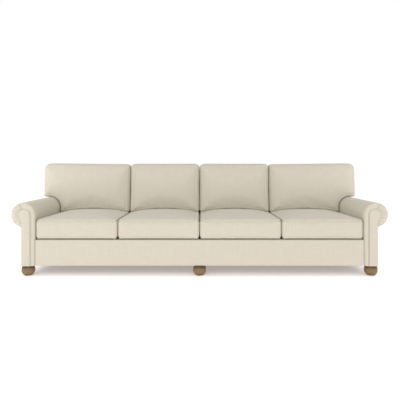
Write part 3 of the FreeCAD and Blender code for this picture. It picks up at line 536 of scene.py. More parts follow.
def make_wood_group():
    """Turned or sawn wood, from a place in metres about the heart."""
    tree, given, out = surface_group("wood_figure", [
        ("Place", "Vector", None),
        ("Early Wood", "Color", (0.4, 0.27, 0.16, 1)),
        ("Late Wood", "Color", (0.22, 0.13, 0.07, 1)),
        ("Rings", "Float", 130.0),
    ])
    calc = partial(maths, tree)
    axes = axes_of(tree, given["Place"])
    wander, fibre, pores = (
        noise_value(tree, scaled(tree, given["Place"], stretch), 1.0, detail)
        for stretch, detail in (((18, 6, 18), 2.0), ((420, 40, 420), 3.0), ((900, 60, 900), 1.0))
    )
    squares = [calc("POWER", axes[axis], 2.0) for axis in (0, 2)]
    radius = calc("SQRT", calc("ADD", squares[0], squares[1]))
    radius = calc("ADD", radius, calc("MULTIPLY", wander, 0.018))
    rings = calc("POWER", calc("FRACT", calc("MULTIPLY", radius, given["Rings"])), 2.2)
    share = calc("ADD", calc("MULTIPLY", rings, 0.75), calc("MULTIPLY", fibre, 0.42), clamp=True)
    wire(tree, mixed(tree, share, given["Early Wood"], given["Late Wood"]), out["Color"])
    wire(tree, calc("SUBTRACT", pores, calc("MULTIPLY", rings, 0.3)), out["Relief"])
    wire(tree, calc("ADD", calc("MULTIPLY", fibre, 0.25), 0.33), out["Roughness"])
    return tree


LINEN_GROUP = make_linen_group()
WOOD_GROUP = make_wood_group()
print("shader groups", LINEN_GROUP.name, WOOD_GROUP.name)

# %% [markdown]
# The materials follow. Cloth scatters light from its fibres, so it gets a little sheen and hardly
# any gloss; the weave's relief is a tenth of a millimetre or so. Wood for the feet has its rings
# round an axis that points at the viewer, because the feet in the photograph show end grain there.

# %% Materials
# Painted shade on the feet: a dark band at the top where the frame above shades it, and another at the
# bottom where the foot meets the floor.
NECK_BAND = 0.027
BASE_BAND = 0.026
NECK_PAINTED_SHADE = (0.07, 0.04, 0.017, 1)


def new_material(name):
    """A new material, its node tree and its Principled shader."""
    material = bpy.data.materials.new(name)
    material.use_nodes = True
    tree = material.node_tree
    shader = tree.nodes["Principled BSDF"]
    return material, tree, shader


def add_relief(tree, shader, height, strength, distance):
    bump = tree.nodes.new("ShaderNodeBump")
    set_values(bump, {"Strength": strength, "Distance": distance})
    wire(tree, height, bump.inputs["Height"])
    wire(tree, bump.outputs["Normal"], shader.inputs["Normal"])


def placed_group(tree, group, values):
    node = tree.nodes.new("ShaderNodeGroup")
    node.node_tree = group
    set_values(node, values)
    return node


def cloth_material(name, light, dark, threads, slubs=1.0, sheen=0.25, strength=0.35):
    material, tree, shader = new_material(name)
    cloth = tree.nodes.new("ShaderNodeUVMap")
    cloth.uv_map = CLOTH_MAP
    weave = placed_group(tree, LINEN_GROUP, {
        "Light Yarn": light, "Dark Yarn": dark, "Threads": threads, "Slubs": slubs,
    })
    wire(tree, cloth.outputs["UV"], weave.inputs["Map"])
    wire(tree, weave.outputs["Color"], shader.inputs["Base Color"])
    wire(tree, weave.outputs["Roughness"], shader.inputs["Roughness"])
    add_relief(tree, shader, weave.outputs["Relief"], strength, 0.0004)
    set_values(shader, {"Sheen Weight": sheen, "Sheen Roughness": 0.5, "Specular IOR Level": 0.2})
    return material


def wood_material(name, early, late, rings, heart, turn=(0, 0, 0), coat=0.0, neck=None):
    """Wood with its rings about a heart; a foot with a neck gets painted shade at its top, where the frame
    shades it, and at its base on the floor.
    """
    material, tree, shader = new_material(name)
    place = tree.nodes.new("ShaderNodeTexCoord")
    centred = tree.nodes.new("ShaderNodeMapping")
    centred.inputs["Location"].default_value = [-value for value in heart]
    turned = tree.nodes.new("ShaderNodeMapping")
    turned.inputs["Rotation"].default_value = turn
    wire(tree, place.outputs["Object"], centred.inputs["Vector"])
    wire(tree, centred.outputs["Vector"], turned.inputs["Vector"])
    figure = placed_group(tree, WOOD_GROUP, {"Early Wood": early, "Late Wood": late, "Rings": rings})
    wire(tree, turned.outputs["Vector"], figure.inputs["Place"])
    colour = figure.outputs["Color"]
    if neck is not None:
        level = axes_of(tree, place.outputs["Object"])["Z"]
        calc = partial(maths, tree)
        # Painted shade: the colour darkens towards the top of the foot, under the frame, and towards its
        # bottom, on the floor.
        top_shade = calc("DIVIDE", calc("SUBTRACT", level, neck - NECK_BAND), NECK_BAND * 0.6, clamp=True)
        base = calc("DIVIDE", calc("SUBTRACT", BASE_BAND, level), BASE_BAND, clamp=True)
        colour = mixed(tree, calc("MAXIMUM", top_shade, base), colour, NECK_PAINTED_SHADE)
    wire(tree, colour, shader.inputs["Base Color"])
    wire(tree, figure.outputs["Roughness"], shader.inputs["Roughness"])
    add_relief(tree, shader, figure.outputs["Relief"], 0.25, 0.0006)
    set_values(shader, {"Coat Weight": coat, "Coat Roughness": 0.35})
    return material


def speckled_material(name, light, dark, scale, roughness, metallic=0.0, strength=0.2):
    """A plain material whose tone, gloss and relief change in fine speckles."""
    material, tree, shader = new_material(name)
    place = tree.nodes.new("ShaderNodeTexCoord")
    speckle = noise_value(tree, place.outputs["Object"], scale, 4.0, 0.6)
    wire(tree, mixed(tree, speckle, dark, light), shader.inputs["Base Color"])
    rough = maths(tree, "ADD", maths(tree, "MULTIPLY", speckle, 0.3), roughness - 0.15)
    wire(tree, rough, shader.inputs["Roughness"])
    add_relief(tree, shader, speckle, strength, 0.0005)
    shader.inputs["Metallic"].default_value = metallic
    return material


LINEN_LIGHT = (0.665, 0.618, 0.525, 1)
LINEN_DARK = (0.585, 0.541, 0.456, 1)
linen = cloth_material("oatmeal_linen", LINEN_LIGHT, LINEN_DARK, 620)
thread = cloth_material("linen_thread", (0.74, 0.66, 0.53, 1), (0.6, 0.53, 0.42, 1), 2400, 0.3)
deck_cloth = cloth_material("cotton_deck_cloth", (0.185, 0.148, 0.118, 1), (0.12, 0.095, 0.075, 1), 900, 0.5)
dust_cloth = cloth_material("black_dust_cloth", (0.03, 0.03, 0.032, 1), (0.012, 0.012, 0.013, 1), 1400, 0.6)
zip_tape = cloth_material("zip_tape", (0.62, 0.55, 0.45, 1), (0.5, 0.44, 0.36, 1), 1600, 0.3)
jute = cloth_material("jute_webbing", (0.42, 0.33, 0.21, 1), (0.28, 0.21, 0.13, 1), 380)
spring_steel = speckled_material("spring_steel", (0.32, 0.32, 0.33, 1), (0.2, 0.2, 0.21, 1), 300, 0.42, 1.0)
zinc_steel = speckled_material("zinc_steel", (0.66, 0.66, 0.64, 1), (0.5, 0.5, 0.49, 1), 500, 0.38, 1.0)
brass = speckled_material("zip_brass", (0.62, 0.48, 0.24, 1), (0.46, 0.34, 0.15, 1), 600, 0.4, 1.0)
foam = speckled_material("cushion_foam", (0.9, 0.88, 0.8, 1), (0.78, 0.75, 0.66, 1), 900, 0.9)
glide_plastic = speckled_material("glide_plastic", (0.09, 0.07, 0.05, 1), (0.05, 0.04, 0.03, 1), 700, 0.55)
frame_wood = wood_material(
    "frame_hardwood", (0.56, 0.4, 0.24, 1), (0.4, 0.26, 0.14, 1), 90, (0, 0, -0.6), (0, 0, math.radians(90)),
)
print("materials", len(bpy.data.materials))

# %% [markdown]
# The solids that stay are dressed by their slot in the record. Each foot has a heart of its own for
# its rings, so the feet on the left, in the middle and on the right have a finish each.

# %% Dress the solids that stay


def dress(piece, body, slot, material, stands_for=(), fill=None):
    """Gives a piece its finish, its body and the solids it stands for."""
    piece.data.materials.clear()
    piece.data.materials.append(material)
    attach(piece, body)
    if stands_for:
        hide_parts(*stands_for)


upholster = partial(dress, body="frame", slot="upholstery_fabric", material=linen)

FOOT_EARLY = (0.34, 0.21, 0.0855, 1)
FOOT_LATE = (0.07, 0.036, 0.014, 1)
FOOT_RINGS = 85
HEART_HEIGHT = 0.45

foot_wood = {}
for word in ("left", "centre", "right"):
    low, high = corners_of(f"bun_foot_front_{word}")
    heart = ((low.x + high.x) / 2, 0, low.z + HEART_HEIGHT * (high.z - low.z))
    foot_wood[word] = wood_material(
        f"foot_oak_{word}", FOOT_EARLY, FOOT_LATE, FOOT_RINGS, heart, coat=0.15, neck=high.z,
    )

SLOT_MATERIALS = {
    "frame_wood": frame_wood,
    "spring_steel": spring_steel,
    "zinc_steel": zinc_steel,
    "glide_plastic": glide_plastic,
    "webbing": jute,
    "dust_cloth": dust_cloth,
    "deck_cloth": deck_cloth,
    "cushion_filling": foam,
    "upholstery_fabric": linen,
}
for subpart in frame["record"]["subparts"]:
    node = subpart["node"]
    solid = frame["nodes"][node]
    finish = SLOT_MATERIALS.get(subpart["material_slot"])
    if subpart["material_slot"] == "foot_wood":
        finish = foot_wood[node.rsplit("_", 1)[1]]
    solid.data.materials.clear()
    solid.data.materials.append(finish)

# %% [markdown]
# Cushions swell: the cover is cut a little larger than its filling and is held only along its
# seams. So each form is blown up as cloth with its seam rings pinned, which leaves the seams drawn
# in and puckers the cloth beside them. One form is made for each shape and copied for the others.

# %% Blow up a cushion
SWELL_FRAMES = 20
SWELL_PRESSURE = 2.0
SWELL_GROWTH = 0.004
SWELL_CAP = 0.006
REST_GAP = 0.003


def plump(piece, held):
    """Blows a cover up against its seams, and caps how far any point moves."""
    before = coordinates(piece.data)
    seams = piece.vertex_groups.new(name="seams")
    seams.add(sorted(held), 1.0, "REPLACE")
    cloth = piece.modifiers.new("filling", "CLOTH")
    rules = cloth.settings
    rules.vertex_group_mass = "seams"
    rules.quality = 5
    rules.mass = 0.3
    rules.tension_stiffness = 25
    rules.compression_stiffness = 25
    rules.shear_stiffness = 8
    rules.bending_stiffness = 2.0
    rules.use_pressure = True
    rules.uniform_pressure_force = SWELL_PRESSURE
    rules.shrink_min = -SWELL_GROWTH
    rules.effector_weights.gravity = 0
    cloth.collision_settings.use_collision = False
    cloth.collision_settings.use_self_collision = False
    cloth.point_cache.frame_start = 1
    cloth.point_cache.frame_end = SWELL_FRAMES
    scene = bpy.context.scene
    for step in range(1, SWELL_FRAMES + 1):
        scene.frame_set(step)
    graph = bpy.context.evaluated_depsgraph_get()
    after = coordinates(piece.evaluated_get(graph).data)
    piece.modifiers.clear()
    piece.vertex_groups.clear()
    scene.frame_set(1)
    move = after - before
    length = np.linalg.norm(move, axis=1, keepdims=True)
    move *= np.minimum(1, SWELL_CAP / np.maximum(length, 1e-9))
    set_coordinates(piece.data, before + move)
    print(piece.name, "swelled by up to", round(float(length.max()) * 1000, 1), "mm")


# %% [markdown]
# The seat cushion is a box cushion. A seam runs round its top and its bottom edge, a row of
# topstitching lies just inside the top seam, and the top is crowned so that it stands highest
# in the middle. Only its flat underside rests on the deck.

# %% Seat cushions
SEAT_CORNER = 0.022
SEAT_DRAW = 0.003
SEAT_CROWN = 0.030
FRONT_LIP = 0.013
FRONT_HEM = 0.0035
LIP_RISE = 0.022
LIP_FALL = 0.20
LIP_AT_SIDE = 0.35
LIP_SIDE = 0.05
LIP_DEPTH = 0.010
HEM_HEIGHT = 0.030
HEM_REACH = 0.02
HEM_SIDE = 0.04
TOP_SEAM = 0.147
BOX_ROWS = 9

seat_bands = [(0.028, 0.0005), (0.016, 0.0016), (0.0075, 0.0048), (0.0036, 0.0096), (0.0078, 0.0136)]
seat_bottom_seam = len(seat_bands) - 1
seat_bands += [(0.0022, 0.0168), (0.0004, 0.0230)]
seat_bands += [(0.0, level) for level in np.linspace(0.036, 0.122, BOX_ROWS)]
seat_bands += [(0.0, 0.132), (0.0003, 0.1388), (0.0012, 0.1428), (0.0118, TOP_SEAM)]
seat_top_seam = len(seat_bands) - 1
seat_bands += [(0.0026, 0.1510), (0.0040, 0.1532), (0.0068, 0.1550), (0.0110, 0.1563)]
seat_bands += [(0.0160, 0.1574), (0.0215, 0.1580), (0.0260, 0.1566)]
seat_topstitch = len(seat_bands) - 1
seat_bands += [(0.0305, 0.1592), (0.0360, 0.1602), (0.042, 0.1612)]

seat_low, seat_high = corners_of("seat_cushion_cover_1")
seat_corners = rectangle(seat_low.x, seat_low.y, seat_high.x, seat_high.y)
seat, seat_rings = sewn_form(
    "seat_cushion_1", outline_rings(seat_corners, [SEAT_CORNER] * 4, [SEAT_DRAW] * 4, seat_bands),
    seat_bands, SEAT_CROWN, on_seat,
)
seat_rest = [n for n, point in enumerate(coordinates(seat.data)) if point[2] < DECK_TOP + REST_GAP]


def near(distance, reach):
    """A soft share, 1 at no distance and fading over a reach."""
    return np.exp(-(distance / reach) ** 2)


def fill_front(piece):
    """Fills the front edge of the top, where the filling stands fullest, and lifts the hem below it."""
    places = coordinates(piece.data)
    from_front = places[:, 1] - seat_low.y
    from_side = np.minimum(places[:, 0] - seat_low.x, seat_high.x - places[:, 0])
    rise = (1 - near(from_front, LIP_RISE)) * near(from_front, LIP_FALL)
    sides = LIP_AT_SIDE + (1 - LIP_AT_SIDE) * (1 - near(from_side, LIP_SIDE))
    above = np.clip((places[:, 2] - DECK_TOP - TOP_SEAM) / LIP_DEPTH, 0, 1)
    places[:, 2] += FRONT_LIP * rise * sides * above
    below = np.clip(1 - (places[:, 2] - DECK_TOP) / HEM_HEIGHT, 0, 1) * near(from_front, HEM_REACH)
    places[:, 2] += FRONT_HEM * below * (1 - near(from_side, HEM_SIDE))
    set_coordinates(piece.data, places)


fill_front(seat)
sewn = seat_rings[seat_bottom_seam] + seat_rings[seat_top_seam] + seat_rings[seat_topstitch]
plump(seat, set(sewn + seat_rest))
subdivide(seat)
print("seat cushion", len(seat.data.vertices), "points")

# %% [markdown]
# A back cushion leans on the raked back. The two outer ones have an ear that reaches over the arm,
# with a hollow in the corner that fits round the roll. The left ones are the right ones mirrored.

# %% Back cushions
LOW_CORNER = 0.018
TOP_CORNER = 0.028
EAR_TOP_CORNER = 0.046
EAR_FULLNESS = 0.010
INNER_DROOP = 0.009
SETTLE = 0.010
BACK_DRAW = 0.004
BACK_ARCH = 0.026
BACK_CROWN = 0.030
TOP_CAMBER = 0.001
EAR_CLEARANCE = 0.001

back_bands = [(0.022, 0.0006), (0.010, 0.003), (0.004, 0.009), (0.002, 0.016)]
back_rear_seam = len(back_bands) - 1
back_bands += [(0.0005, 0.024), (0.0, 0.033)]
back_bands += [(0.0, level) for level in np.linspace(0.045, 0.108, 7)]
back_bands += [(0.0005, 0.119), (0.002, 0.130), (0.006, 0.1405), (0.012, 0.149), (0.019, 0.1555)]
back_bands += [(0.0255, 0.1592), (0.0295, 0.1562)]
back_front_seam = len(back_bands) - 1
back_bands += [(0.0335, 0.1625), (0.0405, 0.1665), (0.049, 0.1702)]


def back_outline(kind):
    """The corners, radii and bows of a back cushion seen from the front."""
    if kind == "straight":
        low, high = corners_of("back_cushion_cover_3")
        foot, top = low.z - SETTLE, high.z - INNER_DROOP / 2
        radii = [LOW_CORNER, LOW_CORNER, TOP_CORNER, TOP_CORNER]
        return rectangle(low.x, foot, high.x, top), radii, [BACK_ARCH, BACK_DRAW, TOP_CAMBER, BACK_DRAW]
    low, high = corners_of("back_cushion_cover_4")
    notch = ROLL_RADIUS + EAR_CLEARANCE
    stem_x, ear_z = ROLL_X - notch, ROLL_Z + notch
    ear_x = high.x + EAR_FULLNESS
    foot = low.z - SETTLE
    corners = [
        (low.x, foot), (stem_x, foot), (stem_x, ear_z), (ear_x, ear_z),
        (ear_x, high.z), (low.x, high.z - INNER_DROOP),
    ]
    radii = [LOW_CORNER, LOW_CORNER, notch, LOW_CORNER, EAR_TOP_CORNER, TOP_CORNER]
    return corners, radii, [BACK_ARCH, 0, 0, 0, TOP_CAMBER, BACK_DRAW]


back_forms = {}
for kind in ("straight", "ear"):
    lines = outline_rings(*back_outline(kind), back_bands)
    form, rings = sewn_form(f"{kind}_back_form", lines, back_bands, BACK_CROWN, on_back)
    shape = coordinates(form.data)
    off = INSIDE_BACK + (shape[:, 2] - DECK_TOP) * BACK_SLOPE - shape[:, 1]
    rest = [n for n in range(len(shape)) if off[n] < REST_GAP]
    plump(form, set(rings[back_rear_seam] + rings[back_front_seam] + rest))
    subdivide(form)
    back_forms[kind] = (form, rings)
    print(kind, "back cushion", len(form.data.vertices), "points")

# %% [markdown]
# The copies get a different piece of the cloth and a slow unevenness of a millimetre or two,
# because no two filled cushions settle alike.

# %% Place the eight cushions
UNEVEN = 0.0015
WAVES = 5
WAVE_SHIFT = 7.3
CLOTH_SHIFT = np.array((0.37, 0.23))


def cushion_copy(source, name, shift, mirrored, seed):
    mesh = source.data.copy()
    mesh.name = name
    places = coordinates(mesh)
    if mirrored:
        places[:, 0] *= -1
    places[:, 0] += shift
    for index, place in enumerate(places):
        wave = noise.noise(Vector(place) * WAVES + Vector((seed * WAVE_SHIFT, 0, 0)))
        places[index, 1] -= UNEVEN * wave
    set_coordinates(mesh, places)
    if mirrored:
        mesh.flip_normals()
    cloth = mesh.uv_layers[CLOTH_MAP].data
    uvs = np.empty(len(cloth) * 2, dtype=np.float32)
    cloth.foreach_get("uv", uvs)
    uvs = uvs.reshape(-1, 2) + CLOTH_SHIFT * seed
    cloth.foreach_set("uv", uvs.astype(np.float32).ravel())
    return new_object(name, mesh)


def back_kind(number):
    return "ear" if number in (1, 4) else "straight"


cell_shift = corners_of("seat_cushion_cover_2")[0].x - seat_low.x
seat_pieces, back_pieces = {}, {}
for number in SEATS:
    piece = cushion_copy(seat, f"seat_cushion_{number}_sewn", cell_shift * (number - 1), False, number)
    solids = (f"seat_cushion_cover_{number}", f"seat_cushion_core_{number}")
    dress(piece, f"seat_cushion_{number}", "upholstery_fabric", linen, solids, fill=0.9)
    seat_pieces[number] = piece
for number in SEATS:
    kind = back_kind(number)
    piece = cushion_copy(back_forms[kind][0], f"back_cushion_{number}_sewn", 0, number < 3, number + 4)
    solids = (f"back_cushion_cover_{number}", f"back_cushion_core_{number}")
    dress(piece, f"back_cushion_{number}", "upholstery_fabric", linen, solids, fill=0.85)
    back_pieces[number] = piece
back_rings = {kind: rings for kind, (_, rings) in back_forms.items()}
for form in [seat] + [form for form, _ in back_forms.values()]:
    bpy.data.objects.remove(form)
print("cushions", len(seat_pieces) + len(back_pieces))

# %% [markdown]
# The arm's cover runs up the inside of the arm, over the roll and under it to the outside. At the
# front it turns round a soft edge and is drawn in to the keyhole panel. Round the outer side of the
# roll the cloth has too much length for the small head, so it is laid in pleats that fan out from it.

# %% Arm covers
EDGE_ROUND = 0.020
FRONT_SWELL = 0.004
PLEAT_FIRST = math.radians(72)
PLEAT_LAST = math.radians(-86)
PLEAT_LEAD = math.radians(5)
PLEATS = 7
PLEAT_DEPTH = 0.0085
PLEAT_PROUD = 0.0020
PLEAT_FADE = 0.030
PLEAT_TUCK = 0.0050
PLEAT_SHOW = 0.35
FIRST_CREASE = 0.005
COVER_THICKNESS = 0.005
HEAD_JOIN = math.radians(-20)
INNER_POINTS = 40
HEAD_POINTS = 60
NECK_POINTS = 16
OUTER_POINTS = 34
INSIDE_ROWS = 36
ROLL_ROWS = 220
FACE_STEPS = 9
TURN_STEPS = 11
RUN_STEPS = 56
RUN_EASE = 1.4


def keyhole(inset, foot):
    """The keyhole outline of a right-hand arm front, up its inner edge and down its outer one."""
    radius = HEAD_RADIUS - inset
    neck = NECK_RADIUS + inset
    inner, outer = STEM_INNER + inset, STEM_OUTER - inset
    reach = outer + neck - HEAD_X
    drop = math.sqrt((radius + neck) ** 2 - reach ** 2)
    turn = math.atan2(drop, reach)
    path = [(inner, z) for z in np.linspace(foot, ROLL_Z, INNER_POINTS, endpoint=False)]
    for angle in np.linspace(math.pi, -turn, HEAD_POINTS):
        path.append((HEAD_X + radius * math.cos(angle), ROLL_Z + radius * math.sin(angle)))
    for angle in np.linspace(turn, 0, NECK_POINTS)[1:]:
        path.append((outer + neck - neck * math.cos(angle), ROLL_Z - drop + neck * math.sin(angle)))
    path += [(outer, z) for z in np.linspace(ROLL_Z - drop, foot, OUTER_POINTS)[1:]]
    return [Vector(point) for point in path]


def along_line(points, share):
    """The point at a share of a line's length."""
    lengths = running_lengths(points)
    wanted = share * lengths[-1]
    for index in range(len(points) - 1):
        if wanted <= lengths[index + 1] + 1e-9:
            part = (wanted - lengths[index]) / max(lengths[index + 1] - lengths[index], 1e-9)
            return points[index].lerp(points[index + 1], part)
    return points[-1]


def arm_section():
    """Rows of the arm's cover: the point on the arm, the point at the panel and the roll's angle."""
    rows = []
    for z in np.linspace(ARM_FOOT, ROLL_Z, INSIDE_ROWS, endpoint=False):
        rows.append((Vector((arm_low.x, z)), Vector((STEM_INNER, z)), math.pi))
    lowest, highest = ROLL_Z - ROLL_RADIUS, ROLL_Z + HEAD_RADIUS * math.sin(HEAD_JOIN)
    lower = [p for p in keyhole(0, ARM_FOOT) if p.x > HEAD_X and lowest < p.y < highest]
    for angle in np.linspace(math.pi, -math.pi / 2, ROLL_ROWS):
        spoke = Vector((math.cos(angle), math.sin(angle)))
        outer = Vector((ROLL_X, ROLL_Z)) + spoke * ROLL_RADIUS
        if angle > HEAD_JOIN:
            seam = Vector((HEAD_X, ROLL_Z)) + spoke * HEAD_RADIUS
        else:
            seam = along_line(lower, (HEAD_JOIN - angle) / (HEAD_JOIN + math.pi / 2))
        rows.append((outer, seam, angle))
    return rows


def pleated(angle):
    """How far the cloth is gathered at an angle round the roll, from 0 to 1."""
    start = (PLEAT_FIRST + PLEAT_LEAD - angle) / PLEAT_LEAD
    end = (angle - PLEAT_LAST) / (2 * PLEAT_LEAD)
    return min(1.0, max(0.0, min(start, end)))


def pleat(angle):
    """The height of the pleats at an angle round the roll: full folds with a crease between."""
    turn = (PLEAT_FIRST - angle) / (PLEAT_FIRST - PLEAT_LAST) * PLEATS
    part = max(0.0, turn) % 1.0
    fold = math.sin(math.pi * part ** 1.25) ** 0.75
    first = FIRST_CREASE * math.exp(-((angle - PLEAT_FIRST) / PLEAT_LEAD * 2) ** 2)
    return pleated(angle) * (PLEAT_PROUD - PLEAT_DEPTH * (1 - fold) - first)


def arm_depths():
    """From the panel backwards: the kind of step, its share or angle, and its place in Y."""
    steps = [("seam", 0, ARM_FRONT)]
    for share in np.linspace(0, 1, FACE_STEPS):
        steps.append(("flat", share, ARM_FRONT - FRONT_SWELL * math.sin(math.pi * share)))
    for angle in np.linspace(0, math.pi / 2, TURN_STEPS)[1:]:
        steps.append(("turn", angle, ARM_FRONT + EDGE_ROUND * (1 - math.cos(angle))))
    start = ARM_FRONT + EDGE_ROUND
    for share in np.linspace(0, 1, RUN_STEPS)[1:]:
        steps.append(("run", share, start + (ARM_BACK - start) * share ** RUN_EASE))
    return steps


def arm_cover(name, side):
    """The cover of one arm, as a grid of the section's rows at each depth."""
    rows, depths = arm_section(), arm_depths()
    points, texture = [], []
    lengths = running_lengths([outer for outer, _, _ in rows])
    for kind, amount, y in depths:
        for (outer, seam, angle), length in zip(rows, lengths):
            inward = (seam - outer).normalized()
            width = (seam - outer).length
            fold = pleat(angle)
            if kind == "seam":
                inset, outwards, forwards = width, 0.0, 0.0
            elif kind == "flat":
                inset = width - amount * (width - EDGE_ROUND)
                tuck = PLEAT_TUCK * pleated(angle) * (1 - amount) ** 2
                outwards, forwards = 0.0, fold * (0.4 + 0.6 * amount) - tuck
            elif kind == "turn":
                inset = EDGE_ROUND * (1 - math.sin(amount))
                outwards, forwards = fold * PLEAT_SHOW * math.sin(amount), fold * math.cos(amount)
            else:
                inset = 0.0
                fade = math.exp(-(y - ARM_FRONT - EDGE_ROUND) / PLEAT_FADE)
                outwards, forwards = fold * PLEAT_SHOW * fade, 0.0
            place = outer + inward * (inset - outwards)
            points.append((side * place.x, y - forwards, place.y))
            texture.append((length, y))
    faces = [face[::side] for face in band_faces(len(depths), len(rows), closed=False)]
    piece = cloth_piece(name, points, faces, texture)
    thicken(piece, COVER_THICKNESS)
    return piece


for word, side in SIDES:
    cover = arm_cover(f"arm_cover_{word}", side)
    upholster(cover, stands_for=(f"arm_pad_{word}",), fill=0.9)
print("arm covers of", len(cover.data.vertices), "points")

# %% [markdown]
# The keyhole panel is a board wrapped in thin wadding and linen, and a welt hides the join round
# it: a cord in a strip of the same cloth, sewn into the seam.

# %% Keyhole panels and welts
PANEL_INSET = 0.0045
PANEL_REAR = ARM_FRONT - 0.0005
PANEL_BANDS = [(0.0, 0.0), (0.0, 0.004), (0.0006, 0.0062), (0.002, 0.0076), (0.0045, 0.0084)]
PANEL_CROWN = 0.0015


def keyhole_panel(name, side):
    """A thin padded board in the keyhole outline."""
    def place(u, v, w):
        return side * u, PANEL_REAR - w, v

    rings = [keyhole(PANEL_INSET + inset, ARM_FOOT + inset) for inset, _ in PANEL_BANDS]
    return sewn_form(name, rings, PANEL_BANDS, PANEL_CROWN, place, 0.010, passes=300, fullness=1.0)[0]


def tube(name, path, radius, sides=10):
    """A round cord along a path of points, with closed ends."""
    path = [Vector(point) for point in path]
    points, texture = [], []
    across = None
    for index, (place, length) in enumerate(zip(path, running_lengths(path))):
        along = (path[min(index + 1, len(path) - 1)] - path[max(index - 1, 0)]).normalized()
        if across is None:
            across = along.orthogonal().normalized()
        across = (across - along * across.dot(along)).normalized()
        third = along.cross(across)
        for step in range(sides):
            angle = 2 * math.pi * step / sides
            points.append(place + (across * math.cos(angle) + third * math.sin(angle)) * radius)
            texture.append((length, angle * radius))
    faces = band_faces(len(path), sides)
    faces += [tuple(range(start, start + sides)) for start in (0, len(points) - sides)]
    cord = cloth_piece(name, points, faces, texture)
    point_outwards(cord.data)
    return cord


for word, side in SIDES:
    panel = keyhole_panel(f"arm_front_{word}", side)
    upholster(panel, stands_for=(f"arm_front_panel_{word}",), fill=0.95)
    line = [(side * p.x, ARM_FRONT - WELT_RADIUS, p.y) for p in keyhole(WELT_RADIUS, ARM_FOOT)]
    welt = tube(f"arm_front_welt_{word}", line, WELT_RADIUS)
    upholster(welt, stands_for=(f"arm_welt_{word}",))
print("panels and welts", len(panel.data.vertices), len(welt.data.vertices))

# %% [markdown]
# The rest of the frame's covers are padded panels: the apron over the front rail, the outside arms,
# the outside back, the small sides of the back, the inside back with its top, and the seat deck.

# %% Padded panels of the frame
SHEET_DEPTH = 0.006
SHEET_EDGE = 0.004
SHEET_CORNER = 0.004
APRON_DROP = 0.003


def facing(axis, rear, direction=1):
    """Places a panel whose face looks along an axis and whose rear lies at a level of it."""
    def place(u, v, w):
        spot = [u, v]
        spot.insert("XYZ".index(axis), rear + direction * w)
        return tuple(spot)

    return place


def padded_panel(
    name, corners, place, radii=SHEET_CORNER, depth=SHEET_DEPTH, edge=SHEET_EDGE, crown=0.0,
    spacing=0.03, step=0.02,
):
    """A panel with a soft rim: depth is its thickness at the rim's top and edge the rim's radius."""
    count = len(corners)
    if isinstance(radii, float):
        radii = [radii] * count
    bands = [(edge * 0.25, 0.0), (0.0, depth * 0.12)]
    bands += [(0.0, depth - edge)] if depth - edge > depth * 0.15 else []
    for angle in np.linspace(0, math.pi / 2, 6)[1:]:
        bands.append((edge * (1 - math.cos(angle)), depth - edge + edge * math.sin(angle)))
    rings = outline_rings(corners, radii, [0] * count, bands, step)
    return sewn_form(name, rings, bands, crown, place, spacing)[0]


low, high = corners_of("front_rail_cover")
apron = padded_panel(
    "apron", rectangle(low.x, low.z, high.x, high.z - APRON_DROP), facing("Y", high.y, -1),
    radii=0.010, depth=high.y - low.y, edge=0.012, crown=0.003,
)
upholster(apron, stands_for=("front_rail_cover",), fill=0.9)

for word, side in SIDES:
    low, high = corners_of(f"outside_arm_panel_{word}")
    inner = min(abs(low.x), abs(high.x))
    panel = padded_panel(
        f"outside_arm_{word}", rectangle(ARM_FRONT, low.z, high.y, high.z), facing("X", side * inner, side),
        crown=0.002,
    )
    upholster(panel, stands_for=(f"outside_arm_panel_{word}",), fill=0.95)
print("apron and outside arms made")

# %% [markdown]
# The outside back is a flat sheet with a disc behind the end of each roll. The inside back is cut
# as a T that reaches over the arms, and its shoulders are hollowed to fit the rolls.

# %% The back of the frame
ROLL_END_DEPTH = 0.0052
PAD_DEPTH = 0.025
TOP_PAD = 0.020
TOP_LAP = 0.006
FOOT_LAP = 0.002

low, high = corners_of("outside_back_panel")
on_outside_back = facing("Y", low.y)
parts = [padded_panel(
    "outside_back_sheet", rectangle(-STEM_OUTER, low.z, STEM_OUTER, high.z), on_outside_back,
    crown=0.002, spacing=0.04, step=0.025,
)]
for word, side in SIDES:
    left, right = side * ROLL_X - ROLL_RADIUS, side * ROLL_X + ROLL_RADIUS
    square = rectangle(left, ROLL_Z - ROLL_RADIUS, right, ROLL_Z + ROLL_RADIUS)
    parts.append(padded_panel(
        f"roll_end_{word}", square, on_outside_back,
        radii=ROLL_RADIUS * 0.995, depth=ROLL_END_DEPTH, crown=0.0006, spacing=0.02, step=0.008,
    ))
sheet_places = coordinates(parts[0].data)
outside_back = join("outside_back", parts)


def outside_back_depth(x, z):
    """How far back the outside back's sheet stands at a place."""
    gaps = (sheet_places[:, 0] - x) ** 2 + (sheet_places[:, 2] - z) ** 2
    return float(sheet_places[gaps < 0.06 ** 2, 1].max())


upholster(outside_back, stands_for=("outside_back_panel",), fill=0.95)

low, high = corners_of("back_pad")
shoulder, top = arm_high.z + 0.001, high.z - TOP_LAP
reach = corners_of("seat_deck")[1].x
pad_thickness = PAD_DEPTH / math.cos(math.atan(BACK_SLOPE))
tee = [
    (-reach, low.z), (reach, low.z), (reach, shoulder), (high.x, shoulder),
    (high.x, top), (-high.x, top), (-high.x, shoulder), (-reach, shoulder),
]
hollows = ((reach, shoulder), (-reach, shoulder))
tee_radii = [ROLL_RADIUS if corner in hollows else 0.004 for corner in tee]
front_pad = padded_panel(
    "inside_back_face", tee, lambda u, v, w: on_back(u, v, w - pad_thickness),
    radii=tee_radii, depth=pad_thickness, edge=0.012, spacing=0.035, step=0.014,
)
top_front = INSIDE_BACK + (high.z - DECK_TOP) * BACK_SLOPE + 0.002
top_pad = padded_panel(
    "inside_back_top", rectangle(-high.x, top_front, high.x, high.y), facing("Z", high.z - TOP_PAD),
    radii=0.006, depth=TOP_PAD, edge=0.014, crown=0.001,
)
inside_back = join("inside_back", [front_pad, top_pad])
upholster(inside_back, stands_for=("back_pad",), fill=0.9)

